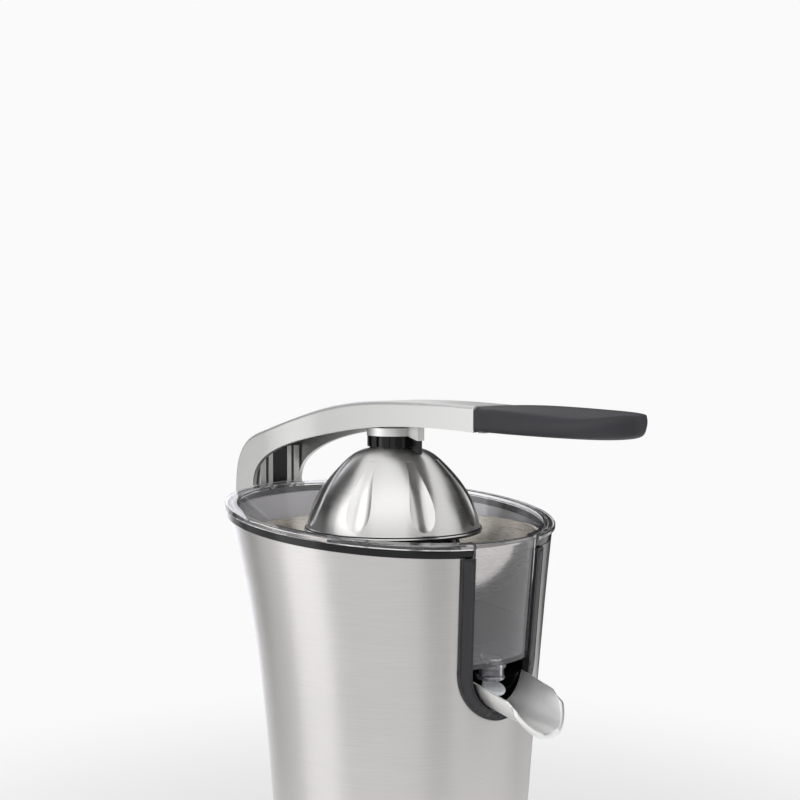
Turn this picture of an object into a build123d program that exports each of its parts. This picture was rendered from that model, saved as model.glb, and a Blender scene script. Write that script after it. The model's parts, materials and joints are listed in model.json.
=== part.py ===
"""Lever citrus juice press: a motor-driven reamer in a waisted steel body.

Millimetres, +Z up, the spout and the lever's grip towards -Y.  The origin is the centre of the
footprint, on the table.  The bowl's rim is tilted: its front is lower than its back, and its
centre lies a little behind the centre of the footprint.  Everything above the motor deck is
placed from the rim's centre with the RIM, SIDE and FRONT planes below.
"""
from build123d import *
from math import acos, atan2, cos, pi, radians, sin, sqrt, tan
import os

os.makedirs("parts", exist_ok=True)

# ---------------------------------------------------------------- body and rim
RIM_HEIGHT = 252.0          # rim centre above the table
RIM_SHIFT = 7.5             # rim centre behind the footprint's centre
RIM_TILT = 5.55             # degrees, front edge down
RIM_RADIUS = 93.4           # body form where it meets the rim plane
WAIST_HEIGHT = 27.0
WAIST_RADIUS = 69.5
FOOT_TOP = 10.0             # lower edge of the steel skin
FOOT_RADIUS = 71.0
BODY_BEND = 1.3             # the body's middle stands this far in front of its ends
BODY_STATIONS = (FOOT_TOP, WAIST_HEIGHT, 70.0, 115.0, 155.0, 190.0, 222.0, RIM_HEIGHT)
SKIN = 0.9                  # steel skin thickness

FLANGE_RADIUS = 95.0        # clear bowl flange
FLANGE_THICK = 2.8
RING_DEPTH = 4.3            # black ring under the flange
RING_RADIUS = 93.6
RING_INNER = 90.9

# ---------------------------------------------------------------- front window and spout
WINDOW_RADIUS = 29.8        # outer half-width of the window frame at its round lower end
WINDOW_CENTRE = -74.6       # centre of that round end, from the rim centre
OPENING_RADIUS = 22.2       # inner half-width of the frame
OPENING_CENTRE = -77.0
WINDOW_FLARE = 3.2          # the window widens this much, each side, up to the rim
FRAME_PROUD = 1.4
FRAME_DEPTH = 2.8
RECESS_BACK = -59.8         # back wall of the spout recess

SPOUT_SLOPE = 13.0          # degrees down towards the lip
SPOUT_RADIUS = 18.8
SPOUT_LIP_RADIUS = 17.2
SPOUT_LENGTH = 42.0
SPOUT_WALL = 1.0
SPOUT_FOLD = 22.0           # degrees up to the drip stop
SPOUT_PIVOT = (-71.4, -91.6)
PLUG_CENTRE = (-80.8, -88.6)
PLUG_RADIUS = 6.5
SPOUT_PIN_RADIUS = 1.5

# ---------------------------------------------------------------- bowl, strainer, reamer
DRIVE_Y = -2.5              # reamer axis, from the rim centre
FLOOR_FRONT = -75.0         # underside of the bowl at Y = -88
FLOOR_FRONT_Y = -88.0
BOWL_INSET = 3.0
BOWL_WALL = 2.2
NOZZLE_Y = -79.0
NOZZLE_RADIUS = 7.0
NOZZLE_BORE = 5.2
NOZZLE_END = -84.0
CHIMNEY_TOP = -44.0         # tube in the bowl's floor around the drive shaft
CHIMNEY_BORE = 7.0
STRAINER_RADIUS = 84.0
STRAINER_TOP = -12.0
REAMER_RADIUS = 37.0        # outside of the cone's skirt
REAMER_BRIM = 40.0          # flat brim round its foot
REAMER_FOOT = -38.0
REAMER_TOP = 17.0
SHAFT_RADIUS = 4.0
RUN_GAP = 0.05              # radial clearance of a running fit
PRESS_TRAVEL = 2.5          # the reamer and its shaft sink this far to start the motor

# ---------------------------------------------------------------- press hood and lever
HOOD_RADIUS = 50.3
HOOD_EDGE = -11.0
HOOD_TOP = 36.6
HOOD_WALL = 1.0
HOOD_FLUTES = 8
COLLAR_RADIUS = 16.5
COLLAR_HEIGHT = 8.6
COLLAR_TOP = 42.4
PIVOT_Y = 115.1
PIVOT_Z = -12.9
PIN_RADIUS = 4.0
ARM_HALF = 16.3             # half-width of the arm at the grip
CLEVIS_HALF = 19.6          # half-width of the arm at the hinge
ARM_WALL = 2.7
GRIP_ROOT = -81.0
GRIP_TIP = -175.6
TOWER_HALF = 15.6

# ---------------------------------------------------------------- gear train (heights above the table)
PINION_TEETH = 12
WHEEL_TEETH = 48
FAST_MODULE = 1.0           # motor pinion and idler wheel
SLOW_MODULE = 1.25          # idler pinion and output wheel
PRESSURE_ANGLE = radians(20.0)
ADDENDUM = 0.8
DEDENDUM = 1.1
BACKLASH = 0.10             # share of the tooth thickness taken off
MOTOR_XY = (0.0, -32.0)
GEARBOX_FLOOR = 140.0
GEARBOX_SPLIT = 163.0
GEARBOX_TOP = 165.5
FAST_LEVEL = (144.5, 150.5)  # faces of the idler wheel
SLOW_LEVEL = (153.0, 161.0)  # faces of the output wheel
MOTOR_RADIUS = 27.0
MOTOR_BASE = 76.0

# ---------------------------------------------------------------- placing planes
RIM = Plane(origin=(0, RIM_SHIFT, RIM_HEIGHT))
SIDE = Plane(origin=RIM.origin, x_dir=(0, 1, 0), z_dir=(1, 0, 0))
FRONT = Plane(origin=RIM.origin, x_dir=(1, 0, 0), z_dir=(0, -1, 0))

ON_FOOT = (Align.CENTER, Align.CENTER, Align.MIN)
HANGING = (Align.CENTER, Align.CENTER, Align.MAX)


def tilted(angle, origin=None):
    """Plane facing up, its front (-Y) edge lowered by an angle in degrees."""
    turn = radians(angle)
    return Plane(origin=origin or RIM.origin, x_dir=(1, 0, 0), z_dir=(0, -sin(turn), cos(turn)))


RIM_PLANE = tilted(RIM_TILT)
RING_PLANE = RIM_PLANE.offset(-FLANGE_THICK)
SKIN_TOP = RIM_PLANE.offset(-FLANGE_THICK - RING_DEPTH)
FLOOR_PLANE = tilted(RIM_TILT, (0, RIM_SHIFT + FLOOR_FRONT_Y, RIM_HEIGHT + FLOOR_FRONT))
DRIVE = Plane(origin=(0, RIM_SHIFT + DRIVE_Y, RIM_HEIGHT))
DRIVE_AXIS = Axis(DRIVE.origin, (0, 0, 1))


def cross_plane(y, z):
    """Plane facing +X whose origin lies on a cross pin, from the rim's centre."""
    return Plane(origin=(0, RIM_SHIFT + y, RIM_HEIGHT + z), x_dir=(0, 1, 0), z_dir=(1, 0, 0))


def section_plane(angle=0.0):
    """Upright plane through the reamer's axis; local x is the radius, local y the height."""
    turn = radians(angle)
    return Plane(origin=DRIVE.origin, x_dir=(cos(turn), sin(turn), 0), z_dir=(sin(turn), -cos(turn), 0))


def save(piece, name):
    """Label a finished piece and write it to its own file."""
    piece.part.label = name
    export_step(piece.part, f"parts/{name}.step")


# ---------------------------------------------------------------- body form
def station(height):
    """Plane and radius of the body's round section whose centre is at a height."""
    if height <= WAIST_HEIGHT:
        share = (WAIST_HEIGHT - height) / (WAIST_HEIGHT - FOOT_TOP)
        return Plane.XY.offset(height), WAIST_RADIUS + (FOOT_RADIUS - WAIST_RADIUS) * share**2
    share = (height - WAIST_HEIGHT) / (RIM_HEIGHT - WAIST_HEIGHT)
    plane = tilted(RIM_TILT * share**4, (0, RIM_SHIFT * share**3.5 - BODY_BEND * sin(pi * share), height))
    return plane, WAIST_RADIUS + (RIM_RADIUS - WAIST_RADIUS) * (0.55 * share + 0.45 * share**3)


def body_form(inset):
    """Closed solid of the body's outer form, drawn in by an inset."""
    with BuildPart() as form:
        for height in BODY_STATIONS:
            plane, radius = station(height)
            with BuildSketch(plane):
                Circle(radius - inset)
        loft()
    return form.part


def window_solid(radius, centre, depth_from=0.0, depth_to=130.0):
    """U-shaped block seen from the front: round below, flared up to above the rim."""
    top = 20.0
    with BuildPart() as block:
        with BuildSketch(FRONT.offset(depth_from)):
            with BuildLine():
                ThreePointArc((-radius, centre), (0, centre - radius), (radius, centre))
                Polyline(
                    (radius, centre),
                    (radius + WINDOW_FLARE, top),
                    (-radius - WINDOW_FLARE, top),
                    (-radius, centre),
                )
            make_face()
        extrude(amount=depth_to - depth_from)
    return block.part


BODY = body_form(0.0)
BODY_UNDER_SKIN = body_form(SKIN)
WINDOW_OPENING = window_solid(OPENING_RADIUS, OPENING_CENTRE)

# ---------------------------------------------------------------- steel body skin
BRACKET_SCREWS = ((-9.0, 236.2, 91.04), (9.0, 236.2, 91.04), (-9.0, 214.2, 85.88), (9.0, 214.2, 85.88))
BRACKET_LEAN = 13.2         # slope of the body's back at the hinge bracket


def facing_back(x, z, y, lean=0.0):
    """Plane facing +Y at a point of the machine's back, leaning down by an angle in degrees."""
    turn = radians(lean)
    return Plane(origin=(x, y, z), x_dir=(1, 0, 0), z_dir=(0, cos(turn), -sin(turn)))


with BuildPart() as housing_shell:
    add(BODY)
    add(BODY_UNDER_SKIN, mode=Mode.SUBTRACT)
    add(window_solid(WINDOW_RADIUS - 2.2, WINDOW_CENTRE), mode=Mode.SUBTRACT)
    with Locations(facing_back(0, 24.0, 60.0)):
        Cylinder(6.0, 40, mode=Mode.SUBTRACT)
    with Locations(*[facing_back(*spot, BRACKET_LEAN) for spot in BRACKET_SCREWS]):
        Cylinder(1.7, 30, mode=Mode.SUBTRACT)
    split(bisect_by=SKIN_TOP, keep=Keep.BOTTOM)
save(housing_shell, "housing_shell")

# ---------------------------------------------------------------- ring under the bowl's flange
with BuildPart() as rim_ring:
    with BuildSketch(SKIN_TOP):
        Circle(RING_RADIUS - 0.3)
        Circle(RING_INNER, mode=Mode.SUBTRACT)
    with BuildSketch(RING_PLANE):
        Circle(RING_RADIUS)
        Circle(RING_INNER, mode=Mode.SUBTRACT)
    loft()
    add(WINDOW_OPENING, mode=Mode.SUBTRACT)
save(rim_ring, "rim_ring")

# ---------------------------------------------------------------- U-shaped frame of the window
with BuildPart() as frame_flange:
    add(body_form(-FRAME_PROUD))
    add(body_form(-0.05), mode=Mode.SUBTRACT)
    add(window_solid(WINDOW_RADIUS, WINDOW_CENTRE), mode=Mode.INTERSECT)
    add(WINDOW_OPENING, mode=Mode.SUBTRACT)

with BuildPart() as window_frame:
    add(body_form(-0.1))
    add(body_form(FRAME_DEPTH), mode=Mode.SUBTRACT)
    add(window_solid(WINDOW_RADIUS - 2.4, WINDOW_CENTRE), mode=Mode.INTERSECT)
    add(WINDOW_OPENING, mode=Mode.SUBTRACT)
    add(frame_flange.part)
    split(bisect_by=SKIN_TOP.offset(-0.1), keep=Keep.BOTTOM)
save(window_frame, "window_frame")

# ---------------------------------------------------------------- recess behind the spout
with BuildPart() as spout_recess:
    add(window_solid(OPENING_RADIUS + 2.2, OPENING_CENTRE, -RECESS_BACK - 2.5))
    add(window_solid(OPENING_RADIUS, OPENING_CENTRE, -RECESS_BACK), mode=Mode.SUBTRACT)
    add(body_form(FRAME_DEPTH + 0.05), mode=Mode.INTERSECT)
    split(bisect_by=FLOOR_PLANE.offset(-2.2), keep=Keep.BOTTOM)
    with Locations(cross_plane(*SPOUT_PIVOT)):
        Cylinder(SPOUT_PIN_RADIUS + 0.02, 60, mode=Mode.SUBTRACT)
save(spout_recess, "spout_recess")

# ---------------------------------------------------------------- clear juice bowl
BOWL_PANE_RADIUS = OPENING_RADIUS - 0.4


def bowl_form(inset):
    """Inside or outside form of the bowl: the round wall and the pane that fills the window."""
    with BuildPart() as pane:
        add(window_solid(BOWL_PANE_RADIUS - inset, OPENING_CENTRE))
        add(body_form(0.3 + inset), mode=Mode.INTERSECT)
    with BuildPart() as form:
        add(body_form(BOWL_INSET + inset))
        add(pane.part)
        split(bisect_by=FLOOR_PLANE.offset(inset), keep=Keep.TOP)
    return form.part


BOWL_INSIDE = bowl_form(BOWL_WALL)
with BuildPart() as flange_notch:
    add(WINDOW_OPENING)
    add(body_form(0.3), mode=Mode.SUBTRACT)
with BuildPart() as flange:
    with BuildSketch(RING_PLANE):
        Circle(FLANGE_RADIUS)
    extrude(amount=FLANGE_THICK)
    chamfer(flange.edges().group_by(SortBy.LENGTH)[-1], 0.6)
    add(flange_notch.part, mode=Mode.SUBTRACT)
with BuildPart() as juice_bowl:
    add(bowl_form(0.0))
    add(flange.part)
    add(BOWL_INSIDE, mode=Mode.SUBTRACT)
    with Locations(DRIVE.offset(CHIMNEY_TOP)):
        Cylinder(9.0, 21.6, align=HANGING)
    with Locations(DRIVE.offset(CHIMNEY_TOP + 1.0)):
        Cylinder(CHIMNEY_BORE, 45.0, align=HANGING, mode=Mode.SUBTRACT)
    with Locations(Plane(origin=(0, RIM_SHIFT + NOZZLE_Y, RIM_HEIGHT + NOZZLE_END))):
        Cylinder(NOZZLE_RADIUS, 11.0, align=ON_FOOT)
        Cylinder(NOZZLE_BORE, 15.0, align=ON_FOOT, mode=Mode.SUBTRACT)
save(juice_bowl, "juice_bowl")

# ---------------------------------------------------------------- steel strainer
STRAINER_WALL = 0.8


def strainer_form(inset):
    """Turned solid under the strainer's outer or inner face."""
    rim = STRAINER_RADIUS - 1.2 - inset
    with BuildPart() as form:
        with BuildSketch(section_plane()):
            with BuildLine():
                wall = Spline(
                    (rim, STRAINER_TOP),
                    (rim - 5.5, STRAINER_TOP - 17),
                    (52.0, -46.5 + inset),
                    tangents=((-0.1, -1), (-1, -0.12)),
                )
                floor_line = Line(wall @ 1, (0, -48.5 + inset))
                Polyline(floor_line @ 1, (0, STRAINER_TOP), wall @ 0)
            make_face()
        revolve(axis=DRIVE_AXIS)
    return form.part


with BuildPart() as strainer:
    add(strainer_form(0.0))
    with Locations(DRIVE.offset(STRAINER_TOP)):
        Cylinder(STRAINER_RADIUS, 1.0, align=HANGING)
    add(strainer_form(STRAINER_WALL), mode=Mode.SUBTRACT)
    with Locations(DRIVE.offset(-48.4)):
        Cylinder(11.5, 6.0, align=ON_FOOT)
        Cylinder(10.6, 20.0, mode=Mode.SUBTRACT)
    for ring_radius, slot_count in ((25.0, 18), (37.0, 28), (49.0, 36)):
        with BuildSketch(DRIVE.offset(-52.0)):
            with PolarLocations(ring_radius, slot_count):
                SlotOverall(9.0, 1.4)
        extrude(amount=8.0, mode=Mode.SUBTRACT)
save(strainer, "strainer")

# ---------------------------------------------------------------- reamer cone
REAMER_WALL = 2.2
REAMER_RIBS = 10


def reamer_outline(grow):
    """Half outline of the reamer, grown outwards, from its tip to its foot; closed on the axis."""
    with BuildLine() as outline:
        tip = (0, REAMER_TOP + grow)
        nose = Spline(
            tip,
            (14.0 + 0.8 * grow, 8.5 + 0.6 * grow),
            (28.8 + 0.9 * grow, -8.0 + 0.4 * grow),
            (REAMER_RADIUS + grow, -22.0),
            tangents=((1, 0), (0.25, -1)),
        )
        skirt = Line(nose @ 1, (REAMER_RADIUS + grow, REAMER_FOOT))
        Polyline(skirt @ 1, (0, REAMER_FOOT), tip)
    return outline.line


def reamer_form(grow):
    """Turned solid of the reamer, grown outwards."""
    with BuildPart() as form:
        with BuildSketch(section_plane()):
            with BuildLine():
                add(reamer_outline(grow))
            make_face()
        revolve(axis=DRIVE_AXIS)
    return form.part


RIB_HEIGHT = 2.4
with BuildPart() as reamer_cone:
    add(reamer_form(0.0))
    for index in range(REAMER_RIBS):
        with BuildSketch(section_plane(index * 360 / REAMER_RIBS)):
            with BuildLine():
                add(reamer_outline(RIB_HEIGHT))
            make_face()
        extrude(amount=1.0, both=True)
    with Locations(DRIVE.offset(REAMER_FOOT)):
        Cylinder(REAMER_BRIM, 5.0, align=ON_FOOT)
    add(reamer_form(-REAMER_WALL), mode=Mode.SUBTRACT)
    with Locations(DRIVE.offset(REAMER_FOOT)):
        Cylinder(REAMER_RADIUS - REAMER_WALL, 10.0, align=ON_FOOT, mode=Mode.SUBTRACT)
    with Locations(DRIVE.offset(REAMER_FOOT + 1.5)):
        Cylinder(8.0, 50.0, align=ON_FOOT)
    with BuildSketch(DRIVE.offset(REAMER_FOOT + 1.0)):
        RegularPolygon(SHAFT_RADIUS + 0.1, 6)
    extrude(amount=38.0, mode=Mode.SUBTRACT)
save(reamer_cone, "reamer_cone")

# ---------------------------------------------------------------- press hood
FLUTE_SHARES = (0.0, 0.06, 0.14, 0.24, 0.36, 0.5, 0.66, 0.82, 0.94, 1.0)
FLUTE_RADII = (17.7, 17.9, 17.65, 17.0, 16.1, 15.3, 15.05, 15.6, 16.55, 17.25)
FLUTE_FOOT = (49.9, -8.6)   # radius and height of the flute's lower end on the hood
FLUTE_HEAD = (25.5, 28.5)
FLUTE_STANDOFF = 18.0       # the spindle that presses a flute runs this far outside the hood


def hood_form(inset):
    """Turned solid of the hood, drawn in by an inset, without its flutes."""
    with BuildPart() as form:
        with BuildSketch(section_plane()):
            with BuildLine():
                lip = Line((0, HOOD_EDGE), (HOOD_RADIUS + 1.2 - inset, HOOD_EDGE))
                flare = Line(lip @ 1, (HOOD_RADIUS - 0.4 - inset, HOOD_EDGE + 1.6))
                crown = Spline(
                    flare @ 1,
                    (44.6 - inset, 6.5),
                    (29.4 - 0.7 * inset, 26.3 - 0.7 * inset),
                    (0, HOOD_TOP - inset),
                    tangents=((-0.22, 1), (-1, 0)),
                )
                Line(crown @ 1, lip @ 0)
            make_face()
        revolve(axis=DRIVE_AXIS)
    return form.part


def flute_cutter(grow):
    """Spindle that presses one flute into the hood; grown by the wall for the inner face."""
    run = (FLUTE_HEAD[0] - FLUTE_FOOT[0], FLUTE_HEAD[1] - FLUTE_FOOT[1])
    length = sqrt(run[0] ** 2 + run[1] ** 2)
    along = (run[0] / length, run[1] / length)
    outward = (along[1], -along[0])
    foot = (FLUTE_FOOT[0] + outward[0] * FLUTE_STANDOFF, FLUTE_FOOT[1] + outward[1] * FLUTE_STANDOFF)
    section = section_plane()
    start = section.from_local_coords((foot[0], foot[1], 0))
    axis_dir = Vector(along[0], 0, along[1])
    spindle = Plane(origin=start, x_dir=axis_dir, z_dir=(0, -1, 0))
    with BuildPart() as cutter:
        with BuildSketch(spindle):
            with BuildLine():
                edge = Spline(*[(length * t, r + grow) for t, r in zip(FLUTE_SHARES, FLUTE_RADII)])
                Polyline(edge @ 1, (length, 0), (0, 0), edge @ 0)
            make_face()
        revolve(axis=Axis(start, axis_dir))
    return cutter.part


def fluted_form(inset):
    """Hood form with its ring of flutes pressed in."""
    cutter = flute_cutter(inset)
    with BuildPart() as form:
        add(hood_form(inset))
        for index in range(HOOD_FLUTES):
            turn = 360 / HOOD_FLUTES * (index + 0.5)
            add(cutter.rotate(DRIVE_AXIS, turn), mode=Mode.SUBTRACT)
    return form.part


with BuildPart() as press_hood:
    add(fluted_form(0.0))
    add(fluted_form(HOOD_WALL), mode=Mode.SUBTRACT)
    with Locations(DRIVE.offset(HOOD_TOP)):
        Cylinder(3.1, 6.0, mode=Mode.SUBTRACT)
save(press_hood, "press_hood")

with BuildPart() as hood_screw:
    with Locations(DRIVE.offset(HOOD_TOP - HOOD_WALL - 1.0)):
        Cylinder(6.2, 3.6, align=HANGING)
    chamfer(hood_screw.edges().group_by(Axis.Z)[0], 1.0)
    with Locations(DRIVE.offset(HOOD_TOP - HOOD_WALL - 1.0)):
        Cylinder(3.0, 15.0, align=ON_FOOT)
    with BuildSketch(DRIVE.offset(HOOD_TOP - HOOD_WALL - 4.6)):
        RegularPolygon(2.6, 6)
    extrude(amount=2.0, mode=Mode.SUBTRACT)
save(hood_screw, "hood_screw")

# ---------------------------------------------------------------- ribbed collar with its latch tab
COLLAR_RIBS = 12
TAB_HALF = 1.6
TAB_END = -24.6
TAB_SLOPE = ((-19.2, 42.0), (TAB_END, 40.2))    # top edge of the latch tab
with BuildPart() as hood_collar:
    with Locations(DRIVE.offset(COLLAR_TOP)):
        Cylinder(COLLAR_RADIUS - 1.2, COLLAR_HEIGHT, align=HANGING)
        with PolarLocations(COLLAR_RADIUS - 1.6, COLLAR_RIBS):
            Box(3.2, 4.4, COLLAR_HEIGHT - 2.4, align=HANGING)
    with BuildSketch(SIDE):
        with BuildLine():
            Polyline(
                (DRIVE_Y - 12.0, 42.0),
                *TAB_SLOPE,
                (TAB_END, 25.5),
                (DRIVE_Y - 12.0, 30.0),
                close=True,
            )
        make_face()
    extrude(amount=TAB_HALF, both=True)
    add(hood_form(-0.15), mode=Mode.SUBTRACT)
    with Locations(DRIVE.offset(COLLAR_TOP)):
        Cylinder(3.1, 30.0, mode=Mode.SUBTRACT)
save(hood_collar, "hood_collar")

# ---------------------------------------------------------------- cast lever arm
ARM_BELLY = (
    (-43.3, 48.9),
    (2.5, 46.9),
    (40.1, 41.7),
    (73.1, 34.3),
    (92.0, 26.6),
    (102.5, 18.5),
    (106.6, 6.0),
)
ARM_BACK = (
    (126.9, 1.6),
    (124.6, 20.0),
    (115.4, 34.0),
    (97.0, 42.0),
    (73.1, 49.2),
    (45.4, 56.6),
    (19.2, 60.8),
    (-18.9, 62.8),
    (-58.8, 62.4),
)
HEEL_RADIUS = 12.6
WEB_THICK = 3.4
ARM_TOP_ROUND = 3.0


def on_arm_back(edge):
    """True for the long side edges along the arm's back."""
    middle = edge @ 0.5
    rise = middle.Z - RIM_HEIGHT
    reach = middle.Y - RIM_SHIFT
    return abs(middle.X) > 15 and edge.length > 20 and (rise > 49 or (reach > 105 and rise > 0))


def arm_plan(inset):
    """Plan of the arm as a tall block, widening from the grip to the hinge."""
    half = ARM_HALF - inset
    clevis = CLEVIS_HALF - inset
    front = GRIP_ROOT - inset
    with BuildPart() as block:
        with BuildSketch(RIM.offset(-60.0)):
            with BuildLine():
                right = Spline((half, 42.0), (clevis, 96.0), tangents=((0, 1), (0, 1)))
                Polyline(right @ 0, (half, front), (-half, front), (-half, 42.0))
                left = Spline((-half, 42.0), (-clevis, 96.0), tangents=((0, 1), (0, 1)))
                Polyline(left @ 1, (-clevis, 150.0), (clevis, 150.0), right @ 1)
            make_face()
        extrude(amount=160.0)
    return block.part


with BuildPart() as arm_outside:
    with BuildSketch(SIDE.offset(-30.0)):
        with BuildLine():
            belly = Spline((GRIP_ROOT, 47.7), *ARM_BELLY)
            heel_front = Line(belly @ 1, (PIVOT_Y - HEEL_RADIUS, PIVOT_Z))
            heel = ThreePointArc(
                heel_front @ 1,
                (PIVOT_Y, PIVOT_Z - HEEL_RADIUS),
                (PIVOT_Y + HEEL_RADIUS, PIVOT_Z),
            )
            back = Spline(heel @ 1, *ARM_BACK, (GRIP_ROOT, 61.6), tangents=((0, 1), (-1, -0.03)))
            Line(back @ 1, belly @ 0)
        make_face()
    extrude(amount=60.0)
    add(arm_plan(0.0), mode=Mode.INTERSECT)

with BuildPart() as arm_channel:
    with BuildSketch(SIDE.offset(-30.0)):
        with BuildLine():
            web = Spline(
                (PIVOT_Y + HEEL_RADIUS - ARM_WALL, PIVOT_Z + 4.0),
                (126.9 - WEB_THICK, 1.6),
                (124.6 - WEB_THICK, 18.6),
                (115.4 - 2.2, 34.0 - 2.6),
                *[(y, z - WEB_THICK) for y, z in ARM_BACK[3:]],
                (GRIP_ROOT - ARM_WALL, 61.6 - WEB_THICK),
            )
            Polyline(
                web @ 1,
                (GRIP_ROOT - ARM_WALL, 0.0),
                (60.0, -60.0),
                (140.0, -60.0),
                (140.0, PIVOT_Z + 4.0),
                web @ 0,
            )
        make_face()
    extrude(amount=60.0)
    add(arm_plan(ARM_WALL), mode=Mode.INTERSECT)

with BuildPart() as lever_arm:
    add(arm_outside.part)
    fillet(lever_arm.edges().filter_by(on_arm_back), ARM_TOP_ROUND)
    add(arm_channel.part, mode=Mode.SUBTRACT)
    with Locations(cross_plane(PIVOT_Y, PIVOT_Z)):
        Cylinder(PIN_RADIUS, 60, mode=Mode.SUBTRACT)
save(lever_arm, "lever_arm")

# ---------------------------------------------------------------- cast boss between arm and collar
BOSS_RADIUS = 17.0
BOSS_THICK = 4.6
BOSS_LUG_END = -25.4
BOSS_LUG_HALF = 2.6
LUG_GAP = 0.1               # between the lug and the latch tab under it
with BuildPart() as boss_core:
    with BuildSketch(DRIVE.offset(COLLAR_TOP)):
        with Locations((0, BOSS_LUG_END - DRIVE_Y)):
            Rectangle(2 * BOSS_LUG_HALF, 17.0, align=(Align.CENTER, Align.MIN))
        Circle(9.0)
    extrude(amount=30.0)
    add(arm_channel.part, mode=Mode.INTERSECT)

with BuildPart() as hood_boss:
    with Locations(DRIVE.offset(COLLAR_TOP)):
        Cylinder(BOSS_RADIUS, BOSS_THICK, align=ON_FOOT)
    add(arm_outside.part, mode=Mode.SUBTRACT)
    add(boss_core.part)
    with BuildSketch(SIDE):
        with BuildLine():
            Polyline(
                (TAB_SLOPE[0][0], COLLAR_TOP + 2.0),
                (TAB_SLOPE[0][0], TAB_SLOPE[0][1] + LUG_GAP),
                (BOSS_LUG_END, TAB_SLOPE[1][1] + LUG_GAP - 0.27),
                (BOSS_LUG_END, COLLAR_TOP + 2.0),
                close=True,
            )
        make_face()
    extrude(amount=BOSS_LUG_HALF, both=True)
    with Locations(DRIVE.offset(COLLAR_TOP)):
        Cylinder(3.1, 16.0, mode=Mode.SUBTRACT)
save(hood_boss, "hood_boss")

# ---------------------------------------------------------------- soft grip
GRIP_HALF = 19.6
GRIP_SWELL_Y = -142.0
GRIP_ROUND = 4.0
with BuildPart() as grip:
    with BuildSketch(SIDE.offset(-30.0)):
        with BuildLine():
            top = Spline(
                (GRIP_ROOT - 0.1, 61.4),
                (-118.0, 62.9),
                (-150.0, 61.9),
                (GRIP_TIP + 1.2, 58.8),
                tangents=((-1, 0.08), (-1, -0.22)),
            )
            nose = Line(top @ 1, (GRIP_TIP + 3.5, 48.8))
            under = Spline(
                nose @ 1,
                (-155.0, 46.9),
                (-120.0, 46.8),
                (GRIP_ROOT - 0.1, 47.8),
                tangents=((1, -0.25), (1, 0.03)),
            )
            Line(under @ 1, top @ 0)
        make_face()
    extrude(amount=60.0)
    with BuildSketch(RIM.offset(30.0)):
        with BuildLine():
            right = Spline(
                (ARM_HALF, GRIP_ROOT - 0.1),
                (18.3, -112.0),
                (GRIP_HALF, GRIP_SWELL_Y),
                (13.5, GRIP_TIP + 6.5),
                (0, GRIP_TIP),
                tangents=((0.02, -1), (-1, 0)),
            )
            mirror(right, about=Plane.YZ)
            Line((-ARM_HALF, GRIP_ROOT - 0.1), (ARM_HALF, GRIP_ROOT - 0.1))
        make_face()
    extrude(amount=50.0, mode=Mode.INTERSECT)
    fillet(grip.edges().filter_by(lambda e: e.center().Y < RIM_SHIFT + GRIP_ROOT - 2), GRIP_ROUND)
    tongue_half = ARM_HALF - ARM_WALL - 0.2
    with BuildSketch(SIDE.offset(-tongue_half)):
        with BuildLine():
            Polyline((-82.0, 48.2), (-70.0, 48.6), (-64.0, 57.6), (-82.0, 57.6), close=True)
        make_face()
    extrude(amount=2 * tongue_half)
    with Locations(Plane(origin=(0, RIM_SHIFT - 73.0, RIM_HEIGHT + 40.0))):
        Cylinder(1.6, 17.0, align=ON_FOOT, mode=Mode.SUBTRACT)
save(grip, "grip")

with BuildPart() as grip_screw:
    with Locations(Plane(origin=(0, RIM_SHIFT - 73.0, RIM_HEIGHT + 46.6))):
        Cylinder(3.2, 1.8, align=ON_FOOT)
        Cylinder(1.55, 10.0, align=ON_FOOT)
    chamfer(grip_screw.edges().group_by(Axis.Z)[0], 0.5)
save(grip_screw, "grip_screw")

# ---------------------------------------------------------------- hinge bracket behind the bowl
BRACKET_BOSS = 8.6
TOWER_FRONT = 104.0
TOWER_TOP = 30.5
BAR_INNER = 5.7
GROOVE_MIDDLE = 10.1
GROOVE_WIDTH = 2.0
POCKET_DEPTH = 6.0
POCKET_HEIGHT = 26.0
with BuildPart() as hinge_bracket:
    with BuildSketch(SIDE.offset(-TOWER_HALF)):
        with BuildLine():
            foot = Polyline(
                (PIVOT_Y + BRACKET_BOSS, PIVOT_Z),
                (113.5, 22.0),
                (110.5, TOWER_TOP),
                (TOWER_FRONT, TOWER_TOP),
                (TOWER_FRONT, 2.0),
                (98.5, -3.0),
                (80.0, -3.0),
                (70.0, -52.0),
                (84.0, -52.0),
                (PIVOT_Y - 4.0, PIVOT_Z - BRACKET_BOSS),
                (PIVOT_Y, PIVOT_Z - BRACKET_BOSS),
            )
            RadiusArc(foot @ 1, foot @ 0, -BRACKET_BOSS)
        make_face()
    extrude(amount=2 * TOWER_HALF)
    add(body_form(-0.05), mode=Mode.SUBTRACT)
    with Locations(Plane(origin=(0, RIM_SHIFT + TOWER_FRONT, RIM_HEIGHT + TOWER_TOP))):
        Box(2 * BAR_INNER, 2 * POCKET_DEPTH, 2 * POCKET_HEIGHT, mode=Mode.SUBTRACT)
        with Locations((-GROOVE_MIDDLE, 0, 0), (GROOVE_MIDDLE, 0, 0)):
            Box(GROOVE_WIDTH, 2 * POCKET_DEPTH - 2.0, 2 * POCKET_HEIGHT, mode=Mode.SUBTRACT)
    with Locations(cross_plane(PIVOT_Y, PIVOT_Z)):
        Cylinder(PIN_RADIUS + RUN_GAP, 60, mode=Mode.SUBTRACT)
    with Locations(*[facing_back(*spot, BRACKET_LEAN) for spot in BRACKET_SCREWS]):
        Cylinder(1.6, 24.6, mode=Mode.SUBTRACT)
save(hinge_bracket, "hinge_bracket")

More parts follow.
